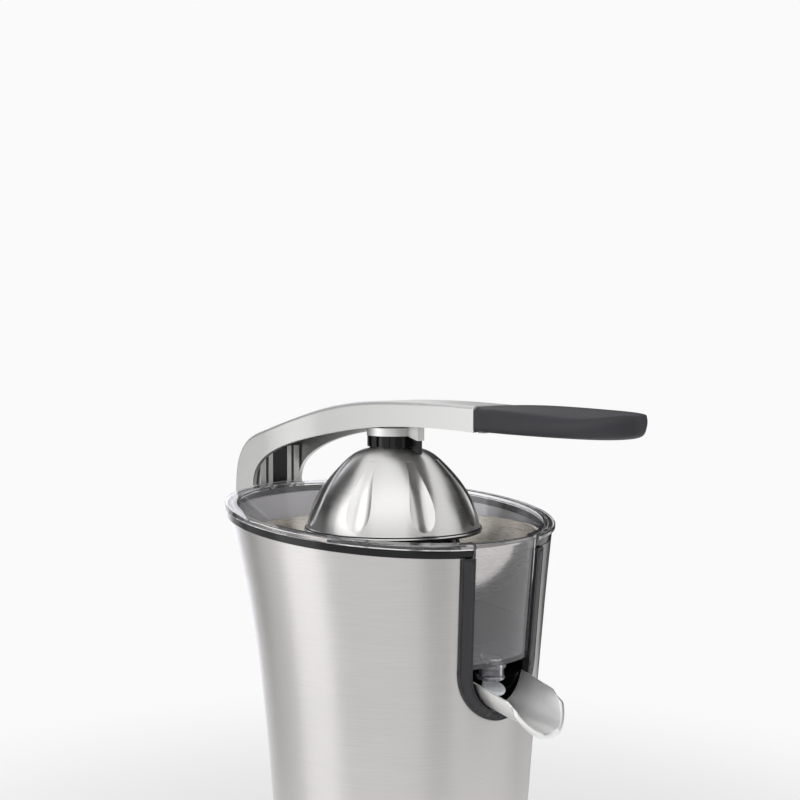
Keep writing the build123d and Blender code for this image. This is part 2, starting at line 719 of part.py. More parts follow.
with BuildPart() as tower_insert:
    with Locations(Plane(origin=(0, RIM_SHIFT + TOWER_FRONT + 0.6, RIM_HEIGHT + TOWER_TOP))):
        Box(2 * BAR_INNER - 0.1, 5.3, POCKET_HEIGHT, align=(Align.CENTER, Align.MIN, Align.MAX))
save(tower_insert, "tower_insert")

with BuildPart() as hinge_pin:
    with Locations(cross_plane(PIVOT_Y, PIVOT_Z)):
        Cylinder(PIN_RADIUS, 2 * CLEVIS_HALF)
save(hinge_pin, "hinge_pin")

with BuildPart() as pin_caps:
    for side in (-1, 1):
        with Locations(cross_plane(PIVOT_Y, PIVOT_Z).offset(side * (CLEVIS_HALF + 0.7))):
            Cylinder(6.4, 1.4)
    chamfer(pin_caps.edges().filter_by(lambda e: abs(e.center().X) > CLEVIS_HALF + 1.0), 0.5)
save(pin_caps, "pin_caps")

# ---------------------------------------------------------------- folding spout
SPOUT_START_Y = -84.5       # steel trough begins at the window
CARRIER_RADIUS = 18.2
SPOUT_ANGLE = radians(SPOUT_SLOPE)
SPOUT_AXIS = Plane(
    origin=(0, RIM_SHIFT + SPOUT_START_Y, RIM_HEIGHT - 78.2),
    x_dir=(1, 0, 0),
    z_dir=(0, -cos(SPOUT_ANGLE), -sin(SPOUT_ANGLE)),
)
PLUG_PLANE = tilted(SPOUT_FOLD, (0, RIM_SHIFT + PLUG_CENTRE[0], RIM_HEIGHT + PLUG_CENTRE[1]))

with BuildPart() as spout:
    with Locations(SPOUT_AXIS):
        Cone(SPOUT_RADIUS, SPOUT_LIP_RADIUS, SPOUT_LENGTH, align=ON_FOOT)
        Cone(
            SPOUT_RADIUS - SPOUT_WALL,
            SPOUT_LIP_RADIUS - SPOUT_WALL,
            SPOUT_LENGTH,
            align=ON_FOOT,
            mode=Mode.SUBTRACT,
        )
    with BuildSketch(SIDE.offset(-30.0)):
        with BuildLine():
            Polyline(
                (-84.0, -81.6),
                (-106.5, -87.4),
                (-112.0, -92.0),
                (-119.8, -103.0),
                (-119.8, -112.0),
                (-84.0, -112.0),
                close=True,
            )
        make_face()
    extrude(amount=60.0, mode=Mode.INTERSECT)
save(spout, "spout")

with BuildPart() as spout_carrier:
    with Locations(SPOUT_AXIS.offset(-0.05)):
        Cylinder(CARRIER_RADIUS, 19.0, align=HANGING)
        Cylinder(CARRIER_RADIUS - 1.6, 17.0, align=HANGING, mode=Mode.SUBTRACT)
    with BuildSketch(SIDE.offset(-30.0)):
        with BuildLine():
            Polyline((-90.0, -83.0), (-50.0, -80.5), (-50.0, -120.0), (-90.0, -120.0), close=True)
        make_face()
    extrude(amount=60.0, mode=Mode.INTERSECT)
    with Locations(cross_plane(*SPOUT_PIVOT)):
        Cylinder(3.3, 2 * 11.8)
        Cylinder(SPOUT_PIN_RADIUS + RUN_GAP, 60, mode=Mode.SUBTRACT)
    with Locations(PLUG_PLANE.offset(-1.1)):
        Cylinder(2.6, 6.0, align=HANGING)
save(spout_carrier, "spout_carrier")

with BuildPart() as spout_plug:
    with Locations(PLUG_PLANE):
        Cylinder(PLUG_RADIUS, 2.0)
    fillet(spout_plug.edges().group_by(SortBy.LENGTH)[-1], 0.7)
save(spout_plug, "spout_plug")

with BuildPart() as spout_pin:
    with Locations(cross_plane(*SPOUT_PIVOT)):
        Cylinder(SPOUT_PIN_RADIUS, 37.0)
save(spout_pin, "spout_pin")

with BuildPart() as bracket_screws:
    with Locations(*[facing_back(*spot, BRACKET_LEAN) for spot in BRACKET_SCREWS]):
        Cylinder(3.0, 1.2, align=ON_FOOT)
        Cylinder(1.55, 11.0, align=ON_FOOT)
save(bracket_screws, "bracket_screws")

# ---------------------------------------------------------------- motor deck and its columns
DECK_THICK = 3.0
DECK_GAP = 1.6              # between the bowl's floor and the deck
COLUMN_RADIUS = 4.5
COLUMN_SPOTS = ((-31.0, -54.5), (31.0, -54.5), (-34.0, 52.0), (34.0, 52.0))
LUG_SPOTS = ((33.0, 26.0), (-41.0, 14.0), (29.5, -21.0))
LUG_RADIUS = 4.6
PLATE_BOTTOM = 3.0
PLATE_TOP = 6.0
SLEEVE_RADIUS = 6.3
SLEEVE_BORE = 5.2
DRIVE_POINT = (0.0, RIM_SHIFT + DRIVE_Y)


def spots_at(spots, height):
    """The same points in plan, all at one height."""
    return [(x, y, height) for x, y in spots]


with BuildPart() as deck_slab:
    add(body_form(SKIN + 0.1))
    split(bisect_by=FLOOR_PLANE.offset(-DECK_GAP), keep=Keep.BOTTOM)
    split(bisect_by=FLOOR_PLANE.offset(-DECK_GAP - DECK_THICK), keep=Keep.TOP)
    add(window_solid(WINDOW_RADIUS - 2.0, WINDOW_CENTRE, -RECESS_BACK - 2.9), mode=Mode.SUBTRACT)

with BuildPart() as chassis:
    with Locations(*spots_at(COLUMN_SPOTS, PLATE_TOP)):
        Cylinder(COLUMN_RADIUS, 200.0, align=ON_FOOT)
    with Locations(*spots_at(LUG_SPOTS, GEARBOX_TOP)):
        Cylinder(LUG_RADIUS, 40.0, align=ON_FOOT)
    split(bisect_by=FLOOR_PLANE.offset(-DECK_GAP - 1.0), keep=Keep.BOTTOM)
    add(deck_slab.part)
    with Locations(DRIVE.offset(CHIMNEY_TOP - 3.0)):
        Cylinder(SLEEVE_RADIUS, 22.0, align=HANGING)
    with Locations(DRIVE):
        Cylinder(SLEEVE_BORE, 200.0, mode=Mode.SUBTRACT)
    with Locations(*spots_at(COLUMN_SPOTS, PLATE_TOP)):
        Cylinder(1.6, 24.0, mode=Mode.SUBTRACT)
    with Locations(*spots_at(LUG_SPOTS, GEARBOX_TOP)):
        Cylinder(1.6, 20.0, mode=Mode.SUBTRACT)
save(chassis, "chassis")

# ---------------------------------------------------------------- base plate, feet, screws, cord inlet
FOOT_SPOTS = ((-40.0, -40.0), (40.0, -40.0), (-40.0, 40.0), (40.0, 40.0), (0.0, 0.0))
FOOT_PAD_RADIUS = 8.0
with BuildPart() as base_plate:
    with Locations((0, 0, PLATE_BOTTOM)):
        Cylinder(FOOT_RADIUS + 0.4, FOOT_TOP - PLATE_BOTTOM - 0.1, align=ON_FOOT)
    chamfer(base_plate.edges().group_by(Axis.Z)[0], 1.0)
    with Locations((0, 0, PLATE_TOP)):
        Cylinder(FOOT_RADIUS - 2.4, 10.0, align=ON_FOOT, mode=Mode.SUBTRACT)
    with Locations(*spots_at(FOOT_SPOTS, 0)):
        Cylinder(FOOT_PAD_RADIUS, 4.2, align=ON_FOOT, mode=Mode.SUBTRACT)
    with Locations(*spots_at(COLUMN_SPOTS, 0)):
        Cylinder(3.4, 4.6, align=ON_FOOT, mode=Mode.SUBTRACT)
        Cylinder(1.7, 20.0, mode=Mode.SUBTRACT)
    with Locations(*[(0, y, 5.0) for y in (-24, -18, -12, 12, 18, 24)]):
        Box(44.0, 2.4, 10.0, mode=Mode.SUBTRACT)
save(base_plate, "base_plate")

with BuildPart() as rubber_feet:
    with Locations(*spots_at(FOOT_SPOTS, 0)):
        Cylinder(FOOT_PAD_RADIUS, 4.2, align=ON_FOOT)
    chamfer(rubber_feet.edges().group_by(Axis.Z)[0], 0.8)
save(rubber_feet, "rubber_feet")

with BuildPart() as base_screws:
    with Locations(*spots_at(COLUMN_SPOTS, PLATE_BOTTOM)):
        Cylinder(3.2, 1.6, align=ON_FOOT)
        Cylinder(1.55, 14.0, align=ON_FOOT)
save(base_screws, "base_screws")

with BuildPart() as cord_gland:
    with Locations(facing_back(0, 24.0, 64.0)):
        Cylinder(5.9, 7.5, align=ON_FOOT)
    with Locations(facing_back(0, 24.0, 70.2)):
        Cylinder(8.0, 2.4, align=ON_FOOT)
    chamfer(cord_gland.edges().group_by(Axis.Y)[-1], 0.8)
    with Locations(facing_back(0, 24.0, 64.0)):
        Cylinder(3.3, 30.0, mode=Mode.SUBTRACT)
save(cord_gland, "cord_gland")

# ---------------------------------------------------------------- gears
IDLER_REACH = (PINION_TEETH + WHEEL_TEETH) * SLOW_MODULE / 2
MOTOR_REACH = (PINION_TEETH + WHEEL_TEETH) * FAST_MODULE / 2


def idler_centre():
    """Point at the two mesh distances from the drive axis and the motor axis, on the -X side."""
    span = DRIVE_POINT[1] - MOTOR_XY[1]
    along = (MOTOR_REACH**2 - IDLER_REACH**2 + span**2) / (2 * span)
    return (-sqrt(MOTOR_REACH**2 - along**2), MOTOR_XY[1] + along)


IDLER_XY = idler_centre()
IDLER_FROM_DRIVE = atan2(IDLER_XY[1] - DRIVE_POINT[1], IDLER_XY[0] - DRIVE_POINT[0])
MOTOR_FROM_IDLER = atan2(MOTOR_XY[1] - IDLER_XY[1], MOTOR_XY[0] - IDLER_XY[0])
FACING_GAP = pi - pi / PINION_TEETH    # a pinion shows the wheel a gap, not a tooth


def on_circle(radius, angle):
    """Point at a radius and an angle in radians."""
    return (radius * cos(angle), radius * sin(angle))


def gear(teeth, module, plane, width, tooth_angle):
    """Spur gear with involute flanks; one tooth is centred on tooth_angle, in radians."""
    pitch = teeth * module / 2
    base = pitch * cos(PRESSURE_ANGLE)
    tip = pitch + ADDENDUM * module
    root = pitch - DEDENDUM * module
    start = max(base, root)
    middle = (start + tip) / 2
    step = 2 * pi / teeth
    half_tooth = step / 4 * (1 - BACKLASH) + tan(PRESSURE_ANGLE) - PRESSURE_ANGLE

    def half_angle(radius):
        """Half of the angle that a tooth takes up at a radius."""
        roll = acos(base / radius)
        return half_tooth - tan(roll) + roll

    with BuildPart() as wheel:
        with BuildSketch(plane):
            with BuildLine():
                for index in range(teeth):
                    turn = tooth_angle + index * step
                    rising = [on_circle(r, turn - half_angle(r)) for r in (start, middle, tip)]
                    falling = [on_circle(r, turn + half_angle(r)) for r in (tip, middle, start)]
                    ThreePointArc(*rising)
                    ThreePointArc(rising[2], on_circle(tip, turn), falling[0])
                    ThreePointArc(*falling)
                    foot = on_circle(root, turn + half_angle(start))
                    next_foot = on_circle(root, turn + step - half_angle(start))
                    next_start = on_circle(start, turn + step - half_angle(start))
                    if root < start:
                        Line(falling[2], foot)
                        Line(next_foot, next_start)
                    ThreePointArc(foot, on_circle(root, turn + step / 2), next_foot)
            make_face()
        extrude(amount=width)
    return wheel.part


HUB_RADIUS = 7.0
HUB_BOTTOM = GEARBOX_FLOOR + 0.2
HUB_TOP = GEARBOX_TOP + 1.5
SLOW_WIDTH = SLOW_LEVEL[1] - SLOW_LEVEL[0]
FAST_WIDTH = FAST_LEVEL[1] - FAST_LEVEL[0]
with BuildPart() as output_gear:
    add(gear(WHEEL_TEETH, SLOW_MODULE, Plane((*DRIVE_POINT, SLOW_LEVEL[0])), SLOW_WIDTH, IDLER_FROM_DRIVE))
    with Locations((*DRIVE_POINT, HUB_BOTTOM)):
        Cylinder(HUB_RADIUS, HUB_TOP - HUB_BOTTOM, align=ON_FOOT)
    with Locations((*DRIVE_POINT, SLOW_LEVEL[0])):
        Cylinder(SHAFT_RADIUS + RUN_GAP, 60.0, mode=Mode.SUBTRACT)
        with PolarLocations(18.5, 6):
            Cylinder(5.0, 40.0, mode=Mode.SUBTRACT)
save(output_gear, "output_gear")

AXLE_RADIUS = 2.0
with BuildPart() as idler_gear:
    add(gear(WHEEL_TEETH, FAST_MODULE, Plane((*IDLER_XY, FAST_LEVEL[0])), FAST_WIDTH, MOTOR_FROM_IDLER))
    add(
        gear(
            PINION_TEETH,
            SLOW_MODULE,
            Plane((*IDLER_XY, FAST_LEVEL[1])),
            SLOW_LEVEL[1] - FAST_LEVEL[1],
            IDLER_FROM_DRIVE + FACING_GAP,
        )
    )
    with Locations((*IDLER_XY, FAST_LEVEL[0])):
        Cylinder(AXLE_RADIUS + RUN_GAP, 60.0, mode=Mode.SUBTRACT)
save(idler_gear, "idler_gear")

with BuildPart() as idler_axle:
    with Locations((*IDLER_XY, GEARBOX_FLOOR)):
        Cylinder(AXLE_RADIUS, GEARBOX_TOP - GEARBOX_FLOOR - 1.0, align=ON_FOOT)
save(idler_axle, "idler_axle")

with BuildPart() as motor_pinion:
    add(
        gear(
            PINION_TEETH,
            FAST_MODULE,
            Plane((*MOTOR_XY, FAST_LEVEL[0] - 0.5)),
            FAST_WIDTH + 1.0,
            MOTOR_FROM_IDLER + FACING_GAP,
        )
    )
    with Locations((*MOTOR_XY, FAST_LEVEL[0])):
        Cylinder(AXLE_RADIUS, 60.0, mode=Mode.SUBTRACT)
save(motor_pinion, "motor_pinion")

# ---------------------------------------------------------------- gearbox
BOX_WALL = 2.4
BOX_FLOOR = 3.0
BEARING_RADIUS = 10.0
BEARING_HEIGHT = 3.0
LOWER_BEARING = GEARBOX_FLOOR + 1.0
UPPER_BEARING = GEARBOX_SPLIT - 1.0
MOTOR_SCREWS = ((-9.2, -26.0), (9.2, -26.0))
SWITCH_SCREWS = ((-9.0, 18.0), (9.0, 18.0))


def around_gears(height, grow):
    """Sketch around the three gear axes at a height."""
    with BuildSketch(Plane.XY.offset(height)) as outline:
        with Locations(DRIVE_POINT):
            Circle(33.5 + grow)
        with Locations(IDLER_XY):
            Circle(26.5 + grow)
        with Locations(MOTOR_XY):
            Circle(10.0 + grow)
        make_hull()
    return outline.sketch


with BuildPart() as gearbox_housing:
    add(around_gears(GEARBOX_FLOOR, BOX_WALL))
    extrude(amount=GEARBOX_SPLIT - GEARBOX_FLOOR)
    with Locations(*spots_at(LUG_SPOTS, GEARBOX_FLOOR)):
        Cylinder(LUG_RADIUS, GEARBOX_SPLIT - GEARBOX_FLOOR, align=ON_FOOT)
    add(around_gears(GEARBOX_FLOOR + BOX_FLOOR, 0.0))
    extrude(amount=40.0, mode=Mode.SUBTRACT)
    with Locations((*DRIVE_POINT, LOWER_BEARING)):
        Cylinder(BEARING_RADIUS + 2.0, BEARING_HEIGHT, align=ON_FOOT)
        Cylinder(BEARING_RADIUS, 20.0, align=ON_FOOT, mode=Mode.SUBTRACT)
        Cylinder(HUB_RADIUS + 0.3, 20.0, mode=Mode.SUBTRACT)
    with Locations((*IDLER_XY, GEARBOX_FLOOR)):
        Cylinder(AXLE_RADIUS, 20.0, mode=Mode.SUBTRACT)
    with Locations((*MOTOR_XY, GEARBOX_FLOOR)):
        Cylinder(5.0, 20.0, mode=Mode.SUBTRACT)
    with Locations(*spots_at(LUG_SPOTS, GEARBOX_FLOOR)):
        Cylinder(1.6, 60.0, mode=Mode.SUBTRACT)
    with Locations(*spots_at(MOTOR_SCREWS, GEARBOX_FLOOR + 1.5)):
        Cylinder(3.0, 10.0, align=ON_FOOT, mode=Mode.SUBTRACT)
        Cylinder(1.6, 10.0, mode=Mode.SUBTRACT)
    with Locations(*spots_at(SWITCH_SCREWS, GEARBOX_FLOOR)):
        Cylinder(1.1, 10.0, mode=Mode.SUBTRACT)
save(gearbox_housing, "gearbox_housing")

with BuildPart() as gearbox_cover:
    add(around_gears(GEARBOX_SPLIT, BOX_WALL))
    extrude(amount=GEARBOX_TOP - GEARBOX_SPLIT)
    with Locations(*spots_at(LUG_SPOTS, GEARBOX_SPLIT)):
        Cylinder(LUG_RADIUS, GEARBOX_TOP - GEARBOX_SPLIT, align=ON_FOOT)
    with Locations((*DRIVE_POINT, UPPER_BEARING)):
        Cylinder(BEARING_RADIUS + 2.0, BEARING_HEIGHT + 1.5, align=ON_FOOT)
        Cylinder(BEARING_RADIUS, BEARING_HEIGHT, align=ON_FOOT, mode=Mode.SUBTRACT)
        Cylinder(HUB_RADIUS + 0.3, 30.0, mode=Mode.SUBTRACT)
    with Locations((*IDLER_XY, GEARBOX_TOP - 1.0)):
        Cylinder(AXLE_RADIUS, 10.0, align=HANGING, mode=Mode.SUBTRACT)
    with Locations(*spots_at(LUG_SPOTS, GEARBOX_SPLIT)):
        Cylinder(1.6, 60.0, mode=Mode.SUBTRACT)
save(gearbox_cover, "gearbox_cover")

with BuildPart() as hub_bearings:
    for low in (LOWER_BEARING, UPPER_BEARING):
        with Locations((*DRIVE_POINT, low)):
            Cylinder(BEARING_RADIUS, BEARING_HEIGHT, align=ON_FOOT)
    with Locations((*DRIVE_POINT, GEARBOX_FLOOR)):
        Cylinder(HUB_RADIUS + RUN_GAP, 100.0, mode=Mode.SUBTRACT)
save(hub_bearings, "hub_bearings")

with BuildPart() as gearbox_screws:
    with Locations(*spots_at(LUG_SPOTS, GEARBOX_FLOOR)):
        Cylinder(3.0, 1.8, align=HANGING)
        Cylinder(1.55, GEARBOX_TOP - GEARBOX_FLOOR + 8.0, align=ON_FOOT)
save(gearbox_screws, "gearbox_screws")

# ---------------------------------------------------------------- motor
CAN_TOP = GEARBOX_FLOOR
CAP_TOP = MOTOR_BASE + 8.0
CAN_WALL = 1.5
with BuildPart() as motor_can:
    with Locations((*MOTOR_XY, CAN_TOP)):
        Cylinder(MOTOR_RADIUS, CAN_TOP - CAP_TOP, align=HANGING)
    chamfer(motor_can.edges().group_by(Axis.Z)[-1], 1.2)
    with Locations((*MOTOR_XY, CAN_TOP - 2.0)):
        Cylinder(MOTOR_RADIUS - CAN_WALL, 100.0, align=HANGING, mode=Mode.SUBTRACT)
        Cylinder(5.0, 20.0, mode=Mode.SUBTRACT)
    with Locations(*spots_at(MOTOR_SCREWS, CAN_TOP)):
        Cylinder(1.6, 20.0, mode=Mode.SUBTRACT)
save(motor_can, "motor_can")

with BuildPart() as motor_magnets:
    with BuildSketch(Plane((*MOTOR_XY, CAP_TOP + 6.0))):
        Circle(MOTOR_RADIUS - CAN_WALL)
        Circle(20.8, mode=Mode.SUBTRACT)
        Rectangle(10.0, 80.0, mode=Mode.SUBTRACT)
    extrude(amount=38.0)
save(motor_magnets, "motor_magnets")

with BuildPart() as motor_end_cap:
    with Locations((*MOTOR_XY, MOTOR_BASE)):
        Cylinder(MOTOR_RADIUS, CAP_TOP - MOTOR_BASE, align=ON_FOOT)
    chamfer(motor_end_cap.edges().group_by(Axis.Z)[0], 1.5)
    with Locations((*MOTOR_XY, CAP_TOP - 4.0)):
        Cylinder(5.0, 10.0, align=ON_FOOT, mode=Mode.SUBTRACT)
save(motor_end_cap, "motor_end_cap")

with BuildPart() as motor_bearings:
    for low in (CAP_TOP - 4.0, CAN_TOP - 2.0):
        with Locations((*MOTOR_XY, low)):
            Cylinder(5.0, 4.0, align=ON_FOOT)
    with Locations((*MOTOR_XY, CAN_TOP)):
        Cylinder(AXLE_RADIUS + RUN_GAP, 200.0, mode=Mode.SUBTRACT)
save(motor_bearings, "motor_bearings")

with BuildPart() as motor_shaft:
    with Locations((*MOTOR_XY, FAST_LEVEL[1] + 1.5)):
        Cylinder(AXLE_RADIUS, FAST_LEVEL[1] + 1.5 - CAP_TOP + 3.6, align=HANGING)
save(motor_shaft, "motor_shaft")

with BuildPart() as motor_armature:
    with BuildSketch(Plane((*MOTOR_XY, CAP_TOP + 9.0))):
        Circle(20.0)
        with PolarLocations(17.0, 9):
            Rectangle(10.0, 2.4, mode=Mode.SUBTRACT)
    extrude(amount=34.0)
    with Locations((*MOTOR_XY, CAP_TOP + 1.0)):
        Cylinder(8.0, 8.0, align=ON_FOOT)
        Cylinder(AXLE_RADIUS, 200.0, mode=Mode.SUBTRACT)
save(motor_armature, "motor_armature")

with BuildPart() as motor_screws:
    with Locations(*spots_at(MOTOR_SCREWS, GEARBOX_FLOOR + 1.5)):
        Cylinder(2.8, 1.4, align=ON_FOOT)
        Cylinder(1.55, 6.0, align=HANGING)
save(motor_screws, "motor_screws")

# ---------------------------------------------------------------- drive shaft and its small parts
SHAFT_FOOT = GEARBOX_FLOOR - 10.0
SHAFT_SHOULDER = RIM_HEIGHT + REAMER_FOOT + 1.5
COLLAR_LEVEL = 178.0
with BuildPart() as drive_shaft:
    with Locations((*DRIVE_POINT, SHAFT_FOOT)):
        Cylinder(SHAFT_RADIUS, SHAFT_SHOULDER - SHAFT_FOOT, align=ON_FOOT)
    chamfer(drive_shaft.edges().group_by(Axis.Z)[0], 0.6)
    with BuildSketch(Plane((*DRIVE_POINT, SHAFT_SHOULDER))):
        RegularPolygon(SHAFT_RADIUS, 6)
    extrude(amount=34.0)
    with Locations((*DRIVE_POINT, COLLAR_LEVEL)):
        Cylinder(SHAFT_RADIUS + 2.2, 1.2, align=ON_FOOT)
save(drive_shaft, "drive_shaft")

with BuildPart() as shaft_clip:
    with Locations((*DRIVE_POINT, HUB_BOTTOM - 0.05)):
        Cylinder(6.0, 1.0, align=HANGING)
        Cylinder(SHAFT_RADIUS, 10.0, mode=Mode.SUBTRACT)
save(shaft_clip, "shaft_clip")

with BuildPart() as deck_bush:
    with Locations((*DRIVE_POINT, RIM_HEIGHT + CHIMNEY_TOP - 3.0)):
        Cylinder(SLEEVE_BORE, 14.0, align=HANGING)
        Cylinder(SHAFT_RADIUS + RUN_GAP, 40.0, mode=Mode.SUBTRACT)
save(deck_bush, "deck_bush")

with BuildPart() as shaft_seal:
    with Locations((*DRIVE_POINT, RIM_HEIGHT + CHIMNEY_TOP - 3.0)):
        Cylinder(6.6, 2.4, align=ON_FOOT)
    chamfer(shaft_seal.edges().group_by(Axis.Z)[-1], 0.8)
    with Locations((*DRIVE_POINT, RIM_HEIGHT + CHIMNEY_TOP - 3.0)):
        Cylinder(SHAFT_RADIUS + RUN_GAP, 10.0, mode=Mode.SUBTRACT)
save(shaft_seal, "shaft_seal")

SPRING_TURNS = 4
SPRING_WIRE = 0.6           # radius of the wire
SPRING_RADIUS = 5.4
SPRING_FOOT = HUB_TOP + SPRING_WIRE
SPRING_HEAD = COLLAR_LEVEL - SPRING_WIRE
with BuildPart() as press_spring:
    with BuildLine(Plane((*DRIVE_POINT, SPRING_FOOT))):
        coil = Helix((SPRING_HEAD - SPRING_FOOT) / SPRING_TURNS, SPRING_HEAD - SPRING_FOOT, SPRING_RADIUS)
    with BuildSketch(Plane(origin=coil @ 0, z_dir=coil % 0)):
        Circle(SPRING_WIRE)
    sweep(path=coil, is_frenet=True)
save(press_spring, "press_spring")

# ---------------------------------------------------------------- start switch under the drive shaft
SWITCH_TOP = SHAFT_FOOT - 3.6
SWITCH_SIZE = (20.0, 9.0, 11.0)
with BuildPart() as start_switch:
    with Locations((*DRIVE_POINT, SWITCH_TOP)):
        Box(*SWITCH_SIZE, align=HANGING)
        Cylinder(2.05, 4.5, align=HANGING, mode=Mode.SUBTRACT)
    for offset in (-7.0, 0.0, 7.0):
        with Locations((offset, DRIVE_POINT[1], SWITCH_TOP - SWITCH_SIZE[2])):
            Box(3.0, 0.8, 5.0, align=HANGING)
save(start_switch, "start_switch")

with BuildPart() as switch_plunger:
    with Locations((*DRIVE_POINT, SHAFT_FOOT - 0.05)):
        Cylinder(2.0, 5.0, align=HANGING)
save(switch_plunger, "switch_plunger")

BRACKET_FACE = DRIVE_POINT[1] + SWITCH_SIZE[1] / 2
BRACKET_DROP = GEARBOX_FLOOR - SWITCH_TOP + SWITCH_SIZE[2]
with BuildPart() as switch_bracket:
    with Locations((0, BRACKET_FACE, GEARBOX_FLOOR)):
        Box(26.0, 1.5, BRACKET_DROP, align=(Align.CENTER, Align.MIN, Align.MAX))
        Box(26.0, 12.0, 1.5, align=(Align.CENTER, Align.MIN, Align.MAX))
    with Locations((*DRIVE_POINT, GEARBOX_FLOOR)):
        Cylinder(7.5, 8.0, align=HANGING, mode=Mode.SUBTRACT)
    with Locations(*spots_at(SWITCH_SCREWS, GEARBOX_FLOOR)):
        Cylinder(1.1, 10.0, mode=Mode.SUBTRACT)
save(switch_bracket, "switch_bracket")

with BuildPart() as switch_screws:
    with Locations(*spots_at(SWITCH_SCREWS, GEARBOX_FLOOR - 1.5)):
        Cylinder(2.2, 1.2, align=HANGING)
        Cylinder(1.05, 4.0, align=ON_FOOT)
save(switch_screws, "switch_screws")
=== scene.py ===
"""Looks of a motor-driven lever citrus press: finishes, detailed pieces and a plain studio.

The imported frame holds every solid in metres, +Z up, with the spout and the grip towards -Y.
Each sub-assembly is a class. Its fields hold sizes in millimetres, its build method models
the pieces that carry more shape than the frame's solids, and its dress method gives every
remaining node its finish.
"""

import json
import logging
from collections.abc import Callable
from dataclasses import dataclass, field, replace
from enum import Enum
from math import cos, pi, radians, sin, sqrt

import bmesh
import bpy
from mathutils import Matrix, Vector

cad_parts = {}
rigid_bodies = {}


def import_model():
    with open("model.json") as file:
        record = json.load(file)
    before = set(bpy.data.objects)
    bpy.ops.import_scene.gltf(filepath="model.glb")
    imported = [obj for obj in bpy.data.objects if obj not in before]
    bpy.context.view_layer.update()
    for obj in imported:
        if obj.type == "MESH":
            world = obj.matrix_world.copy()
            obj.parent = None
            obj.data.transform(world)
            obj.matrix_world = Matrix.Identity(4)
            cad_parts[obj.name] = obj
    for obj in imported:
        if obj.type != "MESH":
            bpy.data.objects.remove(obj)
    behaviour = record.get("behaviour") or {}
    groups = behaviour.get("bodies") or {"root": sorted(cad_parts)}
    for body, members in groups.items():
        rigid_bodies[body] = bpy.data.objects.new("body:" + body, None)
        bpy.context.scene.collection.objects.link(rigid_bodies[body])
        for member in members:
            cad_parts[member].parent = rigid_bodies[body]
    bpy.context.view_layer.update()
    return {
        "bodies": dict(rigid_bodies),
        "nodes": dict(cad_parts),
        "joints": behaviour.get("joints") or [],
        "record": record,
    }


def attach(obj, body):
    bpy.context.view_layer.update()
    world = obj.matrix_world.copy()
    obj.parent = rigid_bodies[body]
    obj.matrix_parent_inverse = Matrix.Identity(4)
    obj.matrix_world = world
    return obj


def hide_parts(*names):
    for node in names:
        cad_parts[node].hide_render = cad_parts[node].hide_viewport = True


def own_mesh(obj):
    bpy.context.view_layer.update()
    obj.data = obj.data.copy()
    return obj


LOG = logging.getLogger("press")

MM = 0.001
RIM_SHIFT = 7.5             # the rim's centre, from the middle foot, towards the back
RIM_HEIGHT = 252.0          # and above the table
DRIVE_Y = 5.0               # the drive axis, from the middle foot, towards the back
MERGE = 1e-6                # metres within which two points count as one
SMOOTH = 40.0               # degrees below which an edge is shaded smooth

Colour = tuple[float, float, float]
Point = tuple[float, float, float]


def rim(x: float, y: float, z: float) -> Point:
    """Point given from the rim's centre, in millimetres, as one in the frame's."""
    return (x, y + RIM_SHIFT, z + RIM_HEIGHT)


def metres(point: Point) -> Vector:
    """Millimetres to a vector in metres."""
    return Vector(point) * MM


# ---------------------------------------------------------------------------- finishes
class Slot(Enum):
    """Finishes by the name that the frame's record gives them."""

    BODY_STEEL = "body_steel"
    HOOD_STEEL = "hood_steel"
    SPOUT_STEEL = "spout_steel"
    STRAINER_STEEL = "strainer_steel"
    CAST_ALLOY = "cast_alloy"
    GRIP_PLASTIC = "grip_plastic"
    BLACK_PLASTIC = "black_plastic"
    CLEAR_PLASTIC = "clear_plastic"
    SEAL_SILICONE = "seal_silicone"
    BLACK_RUBBER = "black_rubber"
    REAMER_PLASTIC = "reamer_plastic"
    FRAME_PLASTIC = "frame_plastic"
    GEAR_PLASTIC = "gear_plastic"
    ZINC_STEEL = "zinc_steel"
    SPRING_STEEL = "spring_steel"
    BEARING_BRONZE = "bearing_bronze"
    FERRITE = "ferrite"
    COPPER_WINDINGS = "copper_windings"


class Grain(Enum):
    """How brushing or texture runs over a piece."""

    LEVEL = "level streaks round an upright body"
    TURNED = "rings round the drive axis"
    LENGTHWISE = "streaks along the machine, front to back"
    EVEN = "the same in every direction"


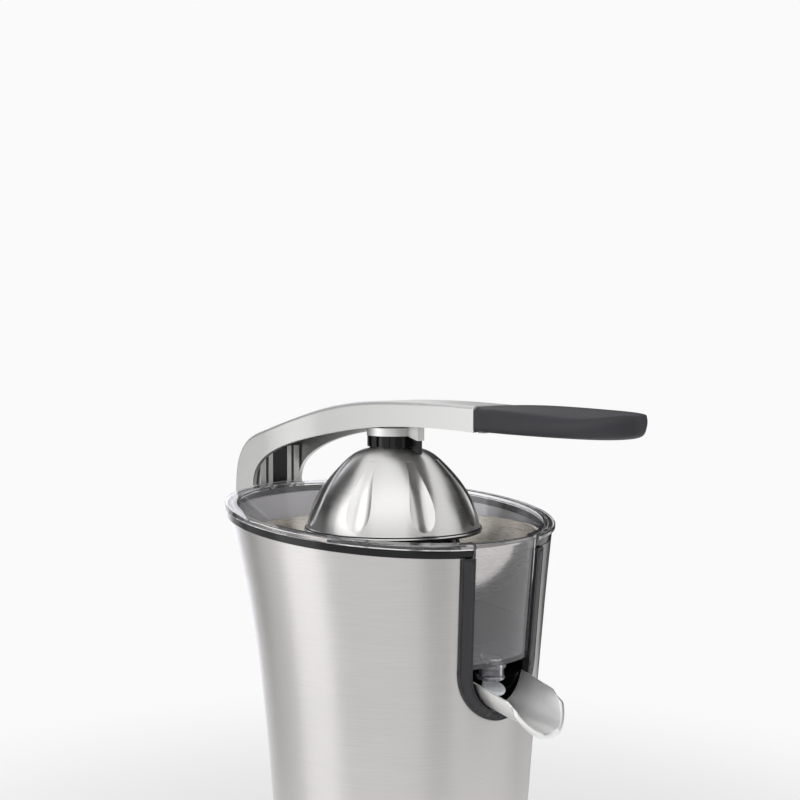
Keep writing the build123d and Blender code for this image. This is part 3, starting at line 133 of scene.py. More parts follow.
class ShaderSheet:
    """A new material with one Principled shader, and the nodes that feed it."""

    def __init__(self, name: str) -> None:
        """Start an empty material.

        Args:
            name: the finish's name.
        """
        self.material = bpy.data.materials.new(name)
        self.material.use_nodes = True
        self.tree = self.material.node_tree
        self.tree.nodes.clear()
        self.output = self.add("ShaderNodeOutputMaterial")
        self.shader = self.add("ShaderNodeBsdfPrincipled")
        self.join(self.shader, "BSDF", self.output, "Surface")

    def add(self, kind: str) -> bpy.types.Node:
        """Add a node of a kind."""
        return self.tree.nodes.new(kind)

    def join(self, source: bpy.types.Node, out: str, target: bpy.types.Node, into: str) -> None:
        """Link one node's output to another's input."""
        self.tree.links.new(source.outputs[out], target.inputs[into])

    def set(self, **values: float | Colour) -> None:
        """Set constant sockets of the shader.

        Args:
            values: value by socket name, with underscores for spaces.
        """
        for key, value in values.items():
            socket = self.shader.inputs[key.replace("_", " ")]
            socket.default_value = (*value, 1.0) if isinstance(value, tuple) and len(value) == 3 else value

    def coordinates(self, scale: Point, shift: Point = (0.0, 0.0, 0.0)) -> bpy.types.Node:
        """Object coordinates through a mapping.

        Args:
            scale: features for each metre along X, Y and Z.
            shift: offset in millimetres that is added before scaling.

        Returns:
            The mapping node, whose output is "Vector".
        """
        source = self.add("ShaderNodeTexCoord")
        mapping = self.add("ShaderNodeMapping")
        mapping.inputs["Scale"].default_value = scale
        mapping.inputs["Location"].default_value = [s * m * MM for s, m in zip(scale, shift)]
        self.join(source, "Object", mapping, "Vector")
        return mapping

    def rings(self, dense: float, loose: float) -> bpy.types.Node:
        """Coordinates that run in rings round the drive axis.

        Args:
            dense: features for each metre across the rings.
            loose: features for each metre along them.

        Returns:
            A node whose output is "Vector".
        """
        centred = self.coordinates((1.0, 1.0, 1.0), (0.0, -DRIVE_Y, 0.0))
        parts = self.add("ShaderNodeSeparateXYZ")
        self.join(centred, "Vector", parts, "Vector")
        flat = self.add("ShaderNodeCombineXYZ")
        self.join(parts, "X", flat, "X")
        self.join(parts, "Y", flat, "Y")
        radius = self.add("ShaderNodeVectorMath")
        radius.operation = "LENGTH"
        self.join(flat, "Vector", radius, "Vector")
        across = self.add("ShaderNodeMath")
        across.operation = "MULTIPLY"
        across.inputs[1].default_value = dense
        self.join(radius, "Value", across, "Value")
        level = self.add("ShaderNodeMath")
        level.operation = "MULTIPLY_ADD"
        level.inputs[1].default_value = dense
        self.join(parts, "Z", level, "Value")
        self.tree.links.new(across.outputs["Value"], level.inputs[2])
        along = self.add("ShaderNodeVectorMath")
        along.operation = "SCALE"
        along.inputs["Scale"].default_value = loose
        self.join(flat, "Vector", along, "Vector")
        ends = self.add("ShaderNodeSeparateXYZ")
        self.join(along, "Vector", ends, "Vector")
        joined = self.add("ShaderNodeCombineXYZ")
        self.join(ends, "X", joined, "X")
        self.join(ends, "Y", joined, "Y")
        self.join(level, "Value", joined, "Z")
        return joined

    def noise(self, vector: bpy.types.Node, detail: float = 3.0, rough: float = 0.6) -> bpy.types.Node:
        """Noise over coordinates that are already scaled.

        Args:
            vector: node with the coordinates.
            detail: octaves of the noise.
            rough: share that each octave keeps.

        Returns:
            The noise node, whose output is "Fac".
        """
        texture = self.add("ShaderNodeTexNoise")
        texture.inputs["Scale"].default_value = 1.0
        texture.inputs["Detail"].default_value = detail
        texture.inputs["Roughness"].default_value = rough
        self.join(vector, "Vector", texture, "Vector")
        return texture

    def spread(self, source: bpy.types.Node, out: str, low: float, high: float) -> bpy.types.Node:
        """Map the middle of a noise's range to two values.

        Args:
            source: node that gives the value.
            out: its output.
            low: result for a low value.
            high: result for a high value.

        Returns:
            The map range node, whose output is "Result".
        """
        mapped = self.add("ShaderNodeMapRange")
        mapped.inputs["From Min"].default_value = 0.3
        mapped.inputs["From Max"].default_value = 0.7
        mapped.inputs["To Min"].default_value = low
        mapped.inputs["To Max"].default_value = high
        self.join(source, out, mapped, "Value")
        return mapped

    def tint(self, source: bpy.types.Node, out: str, dark: Colour, light: Colour) -> None:
        """Drive the base colour between two colours by a value.

        Args:
            source: node that gives the value.
            out: its output.
            dark: colour at the value 0.
            light: colour at the value 1.
        """
        mix = self.add("ShaderNodeMix")
        mix.data_type = "RGBA"
        mix.inputs[6].default_value = (*dark, 1.0)
        mix.inputs[7].default_value = (*light, 1.0)
        self.tree.links.new(source.outputs[out], mix.inputs[0])
        self.tree.links.new(mix.outputs[2], self.shader.inputs["Base Color"])

    def relief(self, source: bpy.types.Node, out: str, strength: float, depth: float) -> None:
        """Raise the surface by a value.

        Args:
            source: node that gives the height.
            out: its output.
            strength: how much of the effect shows, from 0 to 1.
            depth: height of the relief in millimetres.
        """
        bump = self.add("ShaderNodeBump")
        bump.inputs["Strength"].default_value = strength
        bump.inputs["Distance"].default_value = depth * MM
        self.join(source, out, bump, "Height")
        self.join(bump, "Normal", self.shader, "Normal")


def shade(colour: Colour, factor: float) -> Colour:
    """A colour made darker or lighter by a factor."""
    return tuple(min(1.0, max(0.0, c * factor)) for c in colour)


@dataclass(frozen=True)
class MetalFinish:
    """Brushed, turned, drawn or cast metal."""

    slot: Slot
    colour: Colour
    grain: Grain
    fine: float             # grain features for each metre, across the grain
    run: float              # and along it
    contrast: float         # how far the grain lightens and darkens the metal
    roughness: tuple[float, float]
    relief: float           # strength of the grain's relief
    stretch: float = 0.0    # anisotropy of the highlight
    turn: float = 0.0       # its turn from the piece's round direction

    def material(self) -> bpy.types.Material:
        """Build the material of this finish.

        Returns:
            The new material.
        """
        sheet = ShaderSheet(self.slot.value)
        if self.grain is Grain.TURNED:
            vector = sheet.rings(self.fine, self.run)
        elif self.grain is Grain.LEVEL:
            vector = sheet.coordinates((self.run, self.run, self.fine))
        elif self.grain is Grain.LENGTHWISE:
            vector = sheet.coordinates((self.fine, self.run, self.fine))
        else:
            vector = sheet.coordinates((self.fine, self.fine, self.fine))
        grain = sheet.noise(vector, 4.0, 0.65)
        handling = sheet.noise(sheet.coordinates((22.0, 22.0, 30.0)), 2.0, 0.5)
        blended = sheet.add("ShaderNodeMath")
        blended.operation = "MULTIPLY_ADD"
        blended.inputs[1].default_value = 0.75
        sheet.join(grain, "Fac", blended, "Value")
        soft = sheet.add("ShaderNodeMath")
        soft.operation = "MULTIPLY"
        soft.inputs[1].default_value = 0.25
        sheet.join(handling, "Fac", soft, "Value")
        sheet.tree.links.new(soft.outputs["Value"], blended.inputs[2])
        sheet.tint(blended, "Value", shade(self.colour, 1 - self.contrast), shade(self.colour, 1 + self.contrast))
        rough = sheet.spread(blended, "Value", *self.roughness)
        sheet.join(rough, "Result", sheet.shader, "Roughness")
        sheet.set(Metallic=1.0, Anisotropic=self.stretch, Anisotropic_Rotation=self.turn)
        if self.stretch:
            tangent = sheet.add("ShaderNodeTangent")
            tangent.direction_type = "RADIAL"
            tangent.axis = "Z"
            sheet.join(tangent, "Tangent", sheet.shader, "Tangent")
        sheet.relief(grain, "Fac", self.relief, 0.05)
        return sheet.material


@dataclass(frozen=True)
class PlasticFinish:
    """Moulded plastic or rubber with a fine grain."""

    slot: Slot
    colour: Colour
    roughness: tuple[float, float]
    grain: float            # grain features for each metre
    relief: float
    specular: float = 0.5   # strength of the surface's gloss
    flow: float = 0.06      # soft change of tone through the moulding

    def material(self) -> bpy.types.Material:
        """Build the material of this finish.

        Returns:
            The new material.
        """
        sheet = ShaderSheet(self.slot.value)
        grain = sheet.noise(sheet.coordinates((self.grain, self.grain, self.grain)), 3.0, 0.6)
        flow = sheet.noise(sheet.coordinates((28.0, 28.0, 28.0)), 2.0, 0.5)
        sheet.tint(flow, "Fac", shade(self.colour, 1 - self.flow), shade(self.colour, 1 + self.flow))
        rough = sheet.spread(grain, "Fac", *self.roughness)
        sheet.join(rough, "Result", sheet.shader, "Roughness")
        sheet.set(Specular_IOR_Level=self.specular)
        sheet.relief(grain, "Fac", self.relief, 0.06)
        return sheet.material


@dataclass(frozen=True)
class ClearFinish:
    """Clear polished plastic with a faint smoke and the waviness of a moulding."""

    slot: Slot
    colour: Colour
    ior: float
    roughness: tuple[float, float]
    wave: float
    veil: float             # share of light that the plastic scatters

    def material(self) -> bpy.types.Material:
        """Build the material of this finish.

        Returns:
            The new material.
        """
        sheet = ShaderSheet(self.slot.value)
        wave = sheet.noise(sheet.coordinates((34.0, 34.0, 20.0)), 2.0, 0.45)
        wipe = sheet.noise(sheet.coordinates((160.0, 160.0, 60.0)), 3.0, 0.6)
        sheet.tint(wave, "Fac", shade(self.colour, 0.985), shade(self.colour, 1.01))
        rough = sheet.spread(wipe, "Fac", *self.roughness)
        sheet.join(rough, "Result", sheet.shader, "Roughness")
        sheet.set(Transmission_Weight=1.0 - self.veil, IOR=self.ior)
        sheet.relief(wave, "Fac", self.wave, 0.3)
        return sheet.material


@dataclass(frozen=True)
class WindingFinish:
    """Enamelled copper wire laid in turns over a dark core."""

    slot: Slot
    wire: Colour
    gap: Colour
    pitch: float            # width of one wire in millimetres

    def material(self) -> bpy.types.Material:
        """Build the material of this finish.

        Returns:
            The new material.
        """
        sheet = ShaderSheet(self.slot.value)
        bands = sheet.add("ShaderNodeTexWave")
        bands.wave_type = "BANDS"
        bands.bands_direction = "Z"
        bands.inputs["Scale"].default_value = 1.0
        bands.inputs["Distortion"].default_value = 0.6
        vector = sheet.coordinates((20.0, 20.0, 0.32 / (self.pitch * MM)))
        sheet.join(vector, "Vector", bands, "Vector")
        sheet.tint(bands, "Fac", self.gap, self.wire)
        sheet.set(Metallic=0.85, Roughness=0.34)
        sheet.relief(bands, "Fac", 0.6, 0.2)
        return sheet.material


class FinishShop:
    """Every finish of the press, each material made once."""

    FINISHES = (
        MetalFinish(Slot.BODY_STEEL, (0.572, 0.559, 0.547), Grain.LEVEL, 2600.0, 40.0, 0.20, (0.33, 0.47), 0.14,
                    0.88, 0.25),
        MetalFinish(Slot.HOOD_STEEL, (0.68, 0.675, 0.665), Grain.TURNED, 2200.0, 40.0, 0.07, (0.26, 0.36), 0.05,
                    0.80, 0.25),
        MetalFinish(Slot.SPOUT_STEEL, (0.90, 0.90, 0.895), Grain.LENGTHWISE, 1500.0, 60.0, 0.05, (0.36, 0.46), 0.03),
        MetalFinish(Slot.STRAINER_STEEL, (0.70, 0.665, 0.615), Grain.TURNED, 1300.0, 60.0, 0.10, (0.22, 0.32), 0.08,
                    0.7, 0.25),
        MetalFinish(Slot.CAST_ALLOY, (0.66, 0.66, 0.652), Grain.EVEN, 900.0, 900.0, 0.04, (0.42, 0.52), 0.12),
        MetalFinish(Slot.ZINC_STEEL, (0.60, 0.60, 0.59), Grain.EVEN, 500.0, 500.0, 0.08, (0.26, 0.40), 0.08),
        MetalFinish(Slot.SPRING_STEEL, (0.42, 0.42, 0.43), Grain.EVEN, 700.0, 700.0, 0.08, (0.25, 0.35), 0.06),
        MetalFinish(Slot.BEARING_BRONZE, (0.60, 0.43, 0.23), Grain.EVEN, 1200.0, 1200.0, 0.15, (0.36, 0.5), 0.2),
        PlasticFinish(Slot.GRIP_PLASTIC, (0.040, 0.038, 0.044), (0.46, 0.58), 1500.0, 0.18, 0.30, flow=0.10),
        PlasticFinish(Slot.BLACK_PLASTIC, (0.006, 0.006, 0.007), (0.12, 0.22), 700.0, 0.03, 0.30),
        PlasticFinish(Slot.SEAL_SILICONE, (0.80, 0.835, 0.87), (0.24, 0.34), 600.0, 0.04, 0.5, flow=0.03),
        PlasticFinish(Slot.BLACK_RUBBER, (0.014, 0.014, 0.014), (0.60, 0.75), 1300.0, 0.3, 0.3),
        PlasticFinish(Slot.REAMER_PLASTIC, (0.020, 0.020, 0.022), (0.24, 0.34), 800.0, 0.05, 0.3),
        PlasticFinish(Slot.FRAME_PLASTIC, (0.040, 0.040, 0.044), (0.38, 0.50), 1100.0, 0.10, 0.35),
        PlasticFinish(Slot.GEAR_PLASTIC, (0.78, 0.75, 0.66), (0.28, 0.38), 600.0, 0.06, flow=0.04),
        PlasticFinish(Slot.FERRITE, (0.05, 0.048, 0.046), (0.6, 0.75), 1600.0, 0.35),
        ClearFinish(Slot.CLEAR_PLASTIC, (0.955, 0.955, 0.985), 1.47, (0.0, 0.03), 0.006, 0.05),
        WindingFinish(Slot.COPPER_WINDINGS, (0.60, 0.27, 0.10), (0.10, 0.05, 0.03), 0.6),
    )

    def __init__(self) -> None:
        """Make every material."""
        self.made = {finish.slot: finish.material() for finish in self.FINISHES}

    def dress(self, obj: bpy.types.Object, slot: Slot) -> bpy.types.Object:
        """Give an object the finish of a slot.

        Args:
            obj: the object to dress.
            slot: the finish.

        Returns:
            The same object.
        """
        if not obj.material_slots:
            obj.data.materials.append(None)
        for material_slot in obj.material_slots:
            material_slot.material = self.made[slot]
        return obj


# ---------------------------------------------------------------------------- modelling bench
class Bench:
    """Modelling steps that the sub-assemblies share, each on one mesh."""

    @staticmethod
    def take(obj: bpy.types.Object) -> bpy.types.Object:
        """Make an object the only selected one, in object mode.

        Args:
            obj: the object.

        Returns:
            The same object.
        """
        if bpy.context.mode != "OBJECT":
            bpy.ops.object.mode_set(mode="OBJECT")
        bpy.ops.object.select_all(action="DESELECT")
        bpy.context.view_layer.objects.active = obj
        obj.select_set(True)
        return obj

    @staticmethod
    def started(name: str) -> bpy.types.Object:
        """Name the primitive that was just added and open it for editing.

        Args:
            name: the piece's name.

        Returns:
            The piece in edit mode, all selected.
        """
        piece = bpy.context.object
        piece.name = name
        piece.data.name = name
        bpy.ops.object.mode_set(mode="EDIT")
        bpy.ops.mesh.select_all(action="SELECT")
        return piece

    @staticmethod
    def mesh(piece: bpy.types.Object, mode: str) -> bmesh.types.BMesh:
        """Edit mesh of a piece, with fresh tables.

        Args:
            piece: the piece in edit mode.
            mode: "VERT", "EDGE" or "FACE", what is selected from now on.

        Returns:
            The edit mesh.
        """
        bpy.ops.mesh.select_mode(type=mode)
        work = bmesh.from_edit_mesh(piece.data)
        work.verts.ensure_lookup_table()
        work.edges.ensure_lookup_table()
        work.faces.ensure_lookup_table()
        return work

    @staticmethod
    def pick(piece: bpy.types.Object, mode: str, wanted: Callable[[object], bool]) -> int:
        """Select vertices, edges or faces by a test.

        Args:
            piece: the piece in edit mode.
            mode: "VERT", "EDGE" or "FACE".
            wanted: test of one element.

        Returns:
            How many are selected.
        """
        work = Bench.mesh(piece, mode)
        bpy.ops.mesh.select_all(action="DESELECT")
        found = 0
        for element in {"VERT": work.verts, "EDGE": work.edges, "FACE": work.faces}[mode]:
            chosen = wanted(element)
            element.select_set(chosen)
            found += chosen
        work.select_flush_mode()
        bmesh.update_edit_mesh(piece.data)
        return found

    @staticmethod
    def apply(piece: bpy.types.Object, kind: str, **settings: object) -> None:
        """Add a modifier with its settings and apply it.

        Args:
            piece: the piece.
            kind: the modifier's type.
            settings: its properties by name.
        """
        Bench.take(piece)
        modifier = piece.modifiers.new(kind.lower(), kind)
        for key, value in settings.items():
            setattr(modifier, key, value)
        bpy.ops.object.modifier_apply(modifier=modifier.name)

    @staticmethod
    def smooth(piece: bpy.types.Object, angle: float) -> None:
        """Shade smooth, but for edges sharper than an angle in degrees."""
        Bench.take(piece)
        bpy.ops.object.shade_smooth_by_angle(angle=radians(angle))

    @staticmethod
    def hoop(name: str, radius: float, centre: Point, height: float, wall: float, edge: float,
             sides: int, rounds: int) -> bpy.types.Object:
        """A level ring with a wall and rounded edges.

        Args:
            name: the piece's name.
            radius: its outer radius in millimetres, as the other sizes.
            centre: its centre in the frame.
            height: how tall it is.
            wall: thickness of the wall, inwards.
            edge: width of the rounding of its edges.
            sides: faces round it.
            rounds: faces across the rounding.

        Returns:
            The finished ring in object mode.
        """
        bpy.ops.object.select_all(action="DESELECT")
        bpy.ops.mesh.primitive_cylinder_add(vertices=sides, radius=radius * MM, depth=height * MM,
                                            end_fill_type="NOTHING", location=metres(centre))
        bpy.ops.object.transform_apply(location=True, rotation=True, scale=True)
        piece = Bench.started(name)
        bpy.ops.mesh.normals_make_consistent(inside=False)
        bpy.ops.object.mode_set(mode="OBJECT")
        Bench.apply(piece, "SOLIDIFY", thickness=wall * MM, offset=-1.0)
        Bench.apply(piece, "BEVEL", width=edge * MM, segments=rounds, limit_method="ANGLE",
                    angle_limit=radians(SMOOTH))
        Bench.smooth(piece, SMOOTH)
        return piece

    @staticmethod
    def place_ring(piece: bpy.types.Object, before: list[Vector], after: list[Vector]) -> None:
        """Move the selected vertices, each from its old point to its new one.

        Args:
            piece: the piece in edit mode.
            before: where the vertices are.
            after: where each goes.
        """
        work = Bench.mesh(piece, "VERT")
        ring = [vertex for vertex in work.verts if vertex.select]
        order = [min(ring, key=lambda v: (v.co - point).length_squared).index for point in before]
        for index, old, new in zip(order, before, after):
            Bench.pick(piece, "VERT", lambda v: v.index == index)
            bpy.ops.transform.translate(value=new - old)
        Bench.pick(piece, "VERT", lambda v: v.index in order)

    @staticmethod
    def sweep(name: str, sections: list[list[Vector]]) -> bpy.types.Object:
        """A closed skin through rings of points, extruded one after another.

        Args:
            name: the piece's name.
            sections: rings with the same count of points, in order, in metres.

        Returns:
            The piece in edit mode.
        """
        count = len(sections[0])
        middle = sum(sections[0], Vector()) / count
        Bench.take(bpy.context.view_layer.objects[0])
        bpy.ops.object.select_all(action="DESELECT")
        bpy.ops.mesh.primitive_circle_add(vertices=count, radius=0.01, fill_type="NGON", location=middle,
                                          rotation=(pi / 2, 0.0, 0.0))
        bpy.ops.object.transform_apply(location=True, rotation=True, scale=True)
        piece = Bench.started(name)
        work = Bench.mesh(piece, "VERT")
        Bench.place_ring(piece, [vertex.co.copy() for vertex in work.faces[0].verts], sections[0])
        for old, new in zip(sections, sections[1:]):
            Bench.mesh(piece, "FACE")
            bpy.ops.mesh.extrude_region_move()
            Bench.place_ring(piece, old, new)
            Bench.mesh(piece, "FACE")
        bpy.ops.mesh.select_all(action="SELECT")
        bpy.ops.mesh.normals_make_consistent(inside=False)
        return piece


# ---------------------------------------------------------------------------- sub-assemblies
@dataclass
class SubAssembly:
    """Common ground of the sub-assemblies: the frame, the finishes and the new pieces."""

    frame: dict
    shop: FinishShop
    pieces: list[bpy.types.Object] = field(default_factory=list)
    flatness: float = 0.15      # degrees within which the faces of a copied solid count as one

    def build(self) -> None:
        """Model the pieces that carry more shape than the frame's solids."""

    def dress_nodes(self, finishes: dict[str, Slot]) -> None:
        """Give nodes of the frame their finishes.

        Args:
            finishes: slot by node name.
        """
        for name, slot in finishes.items():
            self.shop.dress(self.frame["nodes"][name], slot)
            LOG.info("dressed %s with %s", name, slot.value)

    def carrier(self, node: str) -> str:
        """Name of the body that carries a node."""
        parent = self.frame["nodes"][node].parent
        return next(name for name, holder in self.frame["bodies"].items() if holder == parent)

    def hand_over(self, piece: bpy.types.Object, node: str, slot: Slot) -> None:
        """Put a finished piece in a node's place.

        Args:
            piece: the piece, in its place.
            node: the node that it stands for.
            slot: its finish.
        """
        self.shop.dress(piece, slot)
        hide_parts(node)
        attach(piece, self.carrier(node))
        self.pieces.append(piece)
        LOG.info("modelled %s in place of %s", piece.name, node)

    def add_beside(self, piece: bpy.types.Object, node: str, slot: Slot) -> None:
        """Add a finished piece that rides with a node and leaves it in place.

        Args:
            piece: the piece, in its place.
            node: the node that it belongs to.
            slot: its finish.
        """
        self.shop.dress(piece, slot)
        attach(piece, self.carrier(node))
        self.pieces.append(piece)
        LOG.info("modelled %s beside %s", piece.name, node)

    def copied(self, node: str, name: str) -> bpy.types.Object:
        """Copy a node's solid, merged and free of the edges that lie in flat faces.

        Args:
            node: the node.
            name: the new piece's name.

        Returns:
            The piece in edit mode, all selected.
        """
        source = self.frame["nodes"][node]
        piece = bpy.data.objects.new(name, source.data.copy())
        piece.data.name = name
        bpy.context.scene.collection.objects.link(piece)
        Bench.take(piece)
        bpy.ops.object.mode_set(mode="EDIT")
        bpy.ops.mesh.select_all(action="SELECT")
        bpy.ops.mesh.remove_doubles(threshold=MERGE)
        bpy.ops.mesh.dissolve_limited(angle_limit=radians(self.flatness))
        return piece

    def softened(self, node: str, slot: Slot, width: float, angle: float = 35.0, segments: int = 2,
                 slim: tuple[float, float] | None = None) -> None:
        """Stand a copy with rounded edges in for a node.

        Args:
            node: the node.
            slot: its finish.
            width: width of the rounding in millimetres.
            angle: edges sharper than this many degrees are rounded.
            segments: faces across the rounding.
            slim: radius round the drive axis inside which the piece is drawn in, and by what share.
        """
        piece = self.copied(node, f"{node}_rounded")
        if slim:
            axis = Vector((0.0, DRIVE_Y)) * MM
            Bench.pick(piece, "VERT", lambda v: (v.co.xy - axis).length < slim[0] * MM)
            bpy.ops.transform.resize(value=(slim[1], slim[1], 1.0), center_override=(*axis, 0.0))
        Bench.apply(piece, "BEVEL", width=width * MM, segments=segments, limit_method="ANGLE",
                    angle_limit=radians(angle), miter_outer="MITER_ARC")
        Bench.smooth(piece, SMOOTH)
        Bench.apply(piece, "WEIGHTED_NORMAL", keep_sharp=True)
        self.hand_over(piece, node, slot)


@dataclass
class Housing(SubAssembly):
    """Steel body skin, base, feet and cord gland."""

    def dress(self) -> None:
        """Finish the nodes that stay."""
        self.dress_nodes({
            "housing_shell": Slot.BODY_STEEL,
            "base_plate": Slot.BLACK_PLASTIC,
            "rubber_feet": Slot.BLACK_RUBBER,
            "base_screws": Slot.ZINC_STEEL,
            "cord_gland": Slot.BLACK_RUBBER,
            "chassis": Slot.FRAME_PLASTIC,
        })


@dataclass
class JuiceParts(SubAssembly):
    """Clear bowl with its ring, the strainer and the reamer."""

    nozzle_y: float = -79.0
    beads: tuple[tuple[float, float, float], ...] = ((8.2, -76.4, 2.6), (7.5, -82.9, 1.8))  # radius, middle, height
    bead_wall: float = 1.6
    bead_edge: float = 0.6
    ring_edge: float = 0.35

    def build(self) -> None:
        """Turn two beads round the nozzle and round the edges of the black ring."""
        for count, (radius, middle, height) in enumerate(self.beads, 1):
            bead = Bench.hoop(f"nozzle_bead_{count}", radius, rim(0.0, self.nozzle_y, middle), height,
                              self.bead_wall, self.bead_edge, sides=64, rounds=3)
            self.add_beside(bead, "juice_bowl", Slot.CLEAR_PLASTIC)
        self.softened("rim_ring", Slot.BLACK_PLASTIC, self.ring_edge)

    def dress(self) -> None:
        """Finish the nodes that stay."""
        self.dress_nodes({
            "juice_bowl": Slot.CLEAR_PLASTIC,
            "strainer": Slot.STRAINER_STEEL,
            "reamer_cone": Slot.REAMER_PLASTIC,
            "shaft_seal": Slot.BLACK_RUBBER,
            "shaft_clip": Slot.SPRING_STEEL,
            "drive_shaft": Slot.ZINC_STEEL,
            "deck_bush": Slot.BEARING_BRONZE,
        })


@dataclass
class FrontWindow(SubAssembly):
    """Charcoal U-shaped frame and the recess behind the spout."""

    border: float = 0.5         # plain edge of the frame's face
    groove: float = 0.4         # width of the groove inside it
    groove_depth: float = 0.45
    facing: float = -0.75       # a normal's Y below which a face belongs to the front
    smoothing: float = 35.0

    def build(self) -> None:
        """Cut a fine groove round the face of the frame."""
        piece = self.copied("window_frame", "window_frame_grooved")
        Bench.pick(piece, "FACE", lambda face: face.normal.y < self.facing)
        bpy.ops.mesh.inset(thickness=self.border * MM, depth=0.0)
        bpy.ops.mesh.inset(thickness=self.groove * MM, depth=-self.groove_depth * MM)
        bpy.ops.mesh.inset(thickness=self.groove * MM, depth=self.groove_depth * MM)
        Bench.smooth(piece, self.smoothing)
        self.hand_over(piece, "window_frame", Slot.FRAME_PLASTIC)

    def dress(self) -> None:
        """Finish the nodes that stay."""
        self.dress_nodes({"spout_recess": Slot.BLACK_PLASTIC})


@dataclass
class FoldingSpout(SubAssembly):
    """Steel spout, its carrier, plug and pin."""

    slope: float = 13.0         # degrees down towards the lip
    start: Point = (0.0, -84.5, -78.2)
    radius: float = 18.8
    lip_radius: float = 17.2
    length: float = 42.0
    wall: float = 1.0
    outline: tuple[tuple[float, float], ...] = (
        (-84.0, -81.6), (-106.5, -87.4), (-112.0, -92.0), (-119.8, -103.0), (-119.8, -112.0),
        (-84.0, -112.0), (-84.0, -81.6))
    flare: tuple[tuple[float, float], ...] = ((0.7, 0.9), (1.3, 0.5), (1.3, -0.2))   # outward and forward
    flare_from: tuple[float, float] = (-109.0, -89.0)
    flare_run: float = 5.0      # length over which the flare grows to its full width
    flare_start: float = 0.1    # share of it that the edge has at the start
    cradle_length: float = 19.0
    cradle_swell: float = 0.7   # how far the cradle stands outside the trough
    cradle_drop: float = 0.5    # how far its edges lie below the trough's
    cradle_wall: float = 0.6
    carrier_edge: float = 0.4

    def along(self, y: float, z: float) -> tuple[float, float]:
        """Place of a point in the trough's own axes.

        Args:
            y: how far it lies from the rim's centre, towards the back.
            z: how far it lies above the rim's centre.

        Returns:
            Its height above the trough's axis and its reach along it.
        """
        turn = radians(self.slope)
        back, up = y - self.start[1], z - self.start[2]
        return (-back * sin(turn) + up * cos(turn), -back * cos(turn) - up * sin(turn))

    def trough(self, name: str, swell: float, length: float, drop: float) -> bpy.types.Object:
        """Roll a trough upright on its own axis and trim it to the side outline.

        Args:
            name: the piece's name.
            swell: how much larger than the spout its radius is, in millimetres.
            length: its length along the axis.
            drop: how far its edges lie below the spout's.

        Returns:
            The piece in edit mode, without a wall.
        """
        bpy.ops.object.select_all(action="DESELECT")
        taper = (self.lip_radius - self.radius) * length / self.length
        bpy.ops.mesh.primitive_cone_add(vertices=128, radius1=(self.radius + swell) * MM,
                                        radius2=(self.radius + swell + taper) * MM, depth=length * MM,
                                        end_fill_type="NOTHING", location=(0.0, 0.0, length * MM / 2))
        bpy.ops.object.transform_apply(location=True, rotation=True, scale=True)
        piece = Bench.started(name)
        bpy.ops.mesh.subdivide(number_cuts=3)
        corners = [self.along(y, z) for y, z in self.outline]
        for (up_a, out_a), (up_b, out_b) in zip(corners, corners[1:]):
            bpy.ops.mesh.select_all(action="SELECT")
            outer = Vector((0.0, out_b - out_a, up_a - up_b)).normalized()
            edge = Vector((0.0, up_a, out_a)) - (drop * outer if outer.z < 0.9 * outer.y else Vector())
            bpy.ops.mesh.bisect(plane_co=edge * MM, plane_no=outer, clear_outer=True)
        return piece

    def laid(self, piece: bpy.types.Object, wall: float) -> None:
        """Give a trough its wall and lay it on the spout's axis.

        Args:
            piece: the trough in edit mode.
            wall: thickness of the wall, inwards, in millimetres.
        """
        bpy.ops.mesh.select_all(action="SELECT")
        bpy.ops.mesh.remove_doubles(threshold=MERGE)
        bpy.ops.mesh.normals_make_consistent(inside=False)
        lowest = min(Bench.mesh(piece, "FACE").faces, key=lambda face: face.calc_center_median().y)
        if lowest.normal.y > 0:
            bpy.ops.mesh.select_all(action="SELECT")
            bpy.ops.mesh.flip_normals()
        bpy.ops.object.mode_set(mode="OBJECT")
        Bench.apply(piece, "SOLIDIFY", thickness=wall * MM, offset=-1.0)
        turn = radians(self.slope)
        origin = metres(rim(*self.start))
        piece.matrix_world = Matrix((
            (1.0, 0.0, 0.0, origin.x),
            (0.0, -sin(turn), -cos(turn), origin.y),
            (0.0, cos(turn), -sin(turn), origin.z),
            (0.0, 0.0, 0.0, 1.0),
        ))
        Bench.take(piece)
        bpy.ops.object.transform_apply(location=True, rotation=True, scale=True)
        Bench.smooth(piece, SMOOTH)

    def build(self) -> None:
        """Trim the trough, flare its lip, and set the black cradle under it."""
        piece = self.trough("spout_trough", 0.0, self.length, 0.0)
        start = self.along(*self.flare_from)[1] * MM
        for outward, forward in self.flare:
            Bench.pick(piece, "EDGE", lambda edge: edge.is_boundary and all(v.co.z > start for v in edge.verts))
            bpy.ops.mesh.extrude_region_move()
            lip = [v.index for v in Bench.mesh(piece, "VERT").verts if v.select]
            for index in lip:
                vertex = Bench.mesh(piece, "VERT").verts[index]
                share = min(1.0, (vertex.co.z - start) / (self.flare_run * MM) + self.flare_start)
                radial = Vector((vertex.co.x, vertex.co.y, 0.0)).normalized()
                Bench.pick(piece, "VERT", lambda v: v.index == index)
                bpy.ops.transform.translate(value=share * MM * (outward * radial + Vector((0.0, 0.0, forward))))
        self.laid(piece, self.wall)
        self.hand_over(piece, "spout", Slot.SPOUT_STEEL)
        cradle = self.trough("spout_cradle", self.cradle_swell, self.cradle_length, self.cradle_drop)
        self.laid(cradle, self.cradle_wall)
        self.add_beside(cradle, "spout_carrier", Slot.BLACK_PLASTIC)
        self.softened("spout_carrier", Slot.BLACK_PLASTIC, self.carrier_edge)

    def dress(self) -> None:
        """Finish the nodes that stay."""
        self.dress_nodes({
            "spout_plug": Slot.SEAL_SILICONE,
            "spout_pin": Slot.ZINC_STEEL,
        })


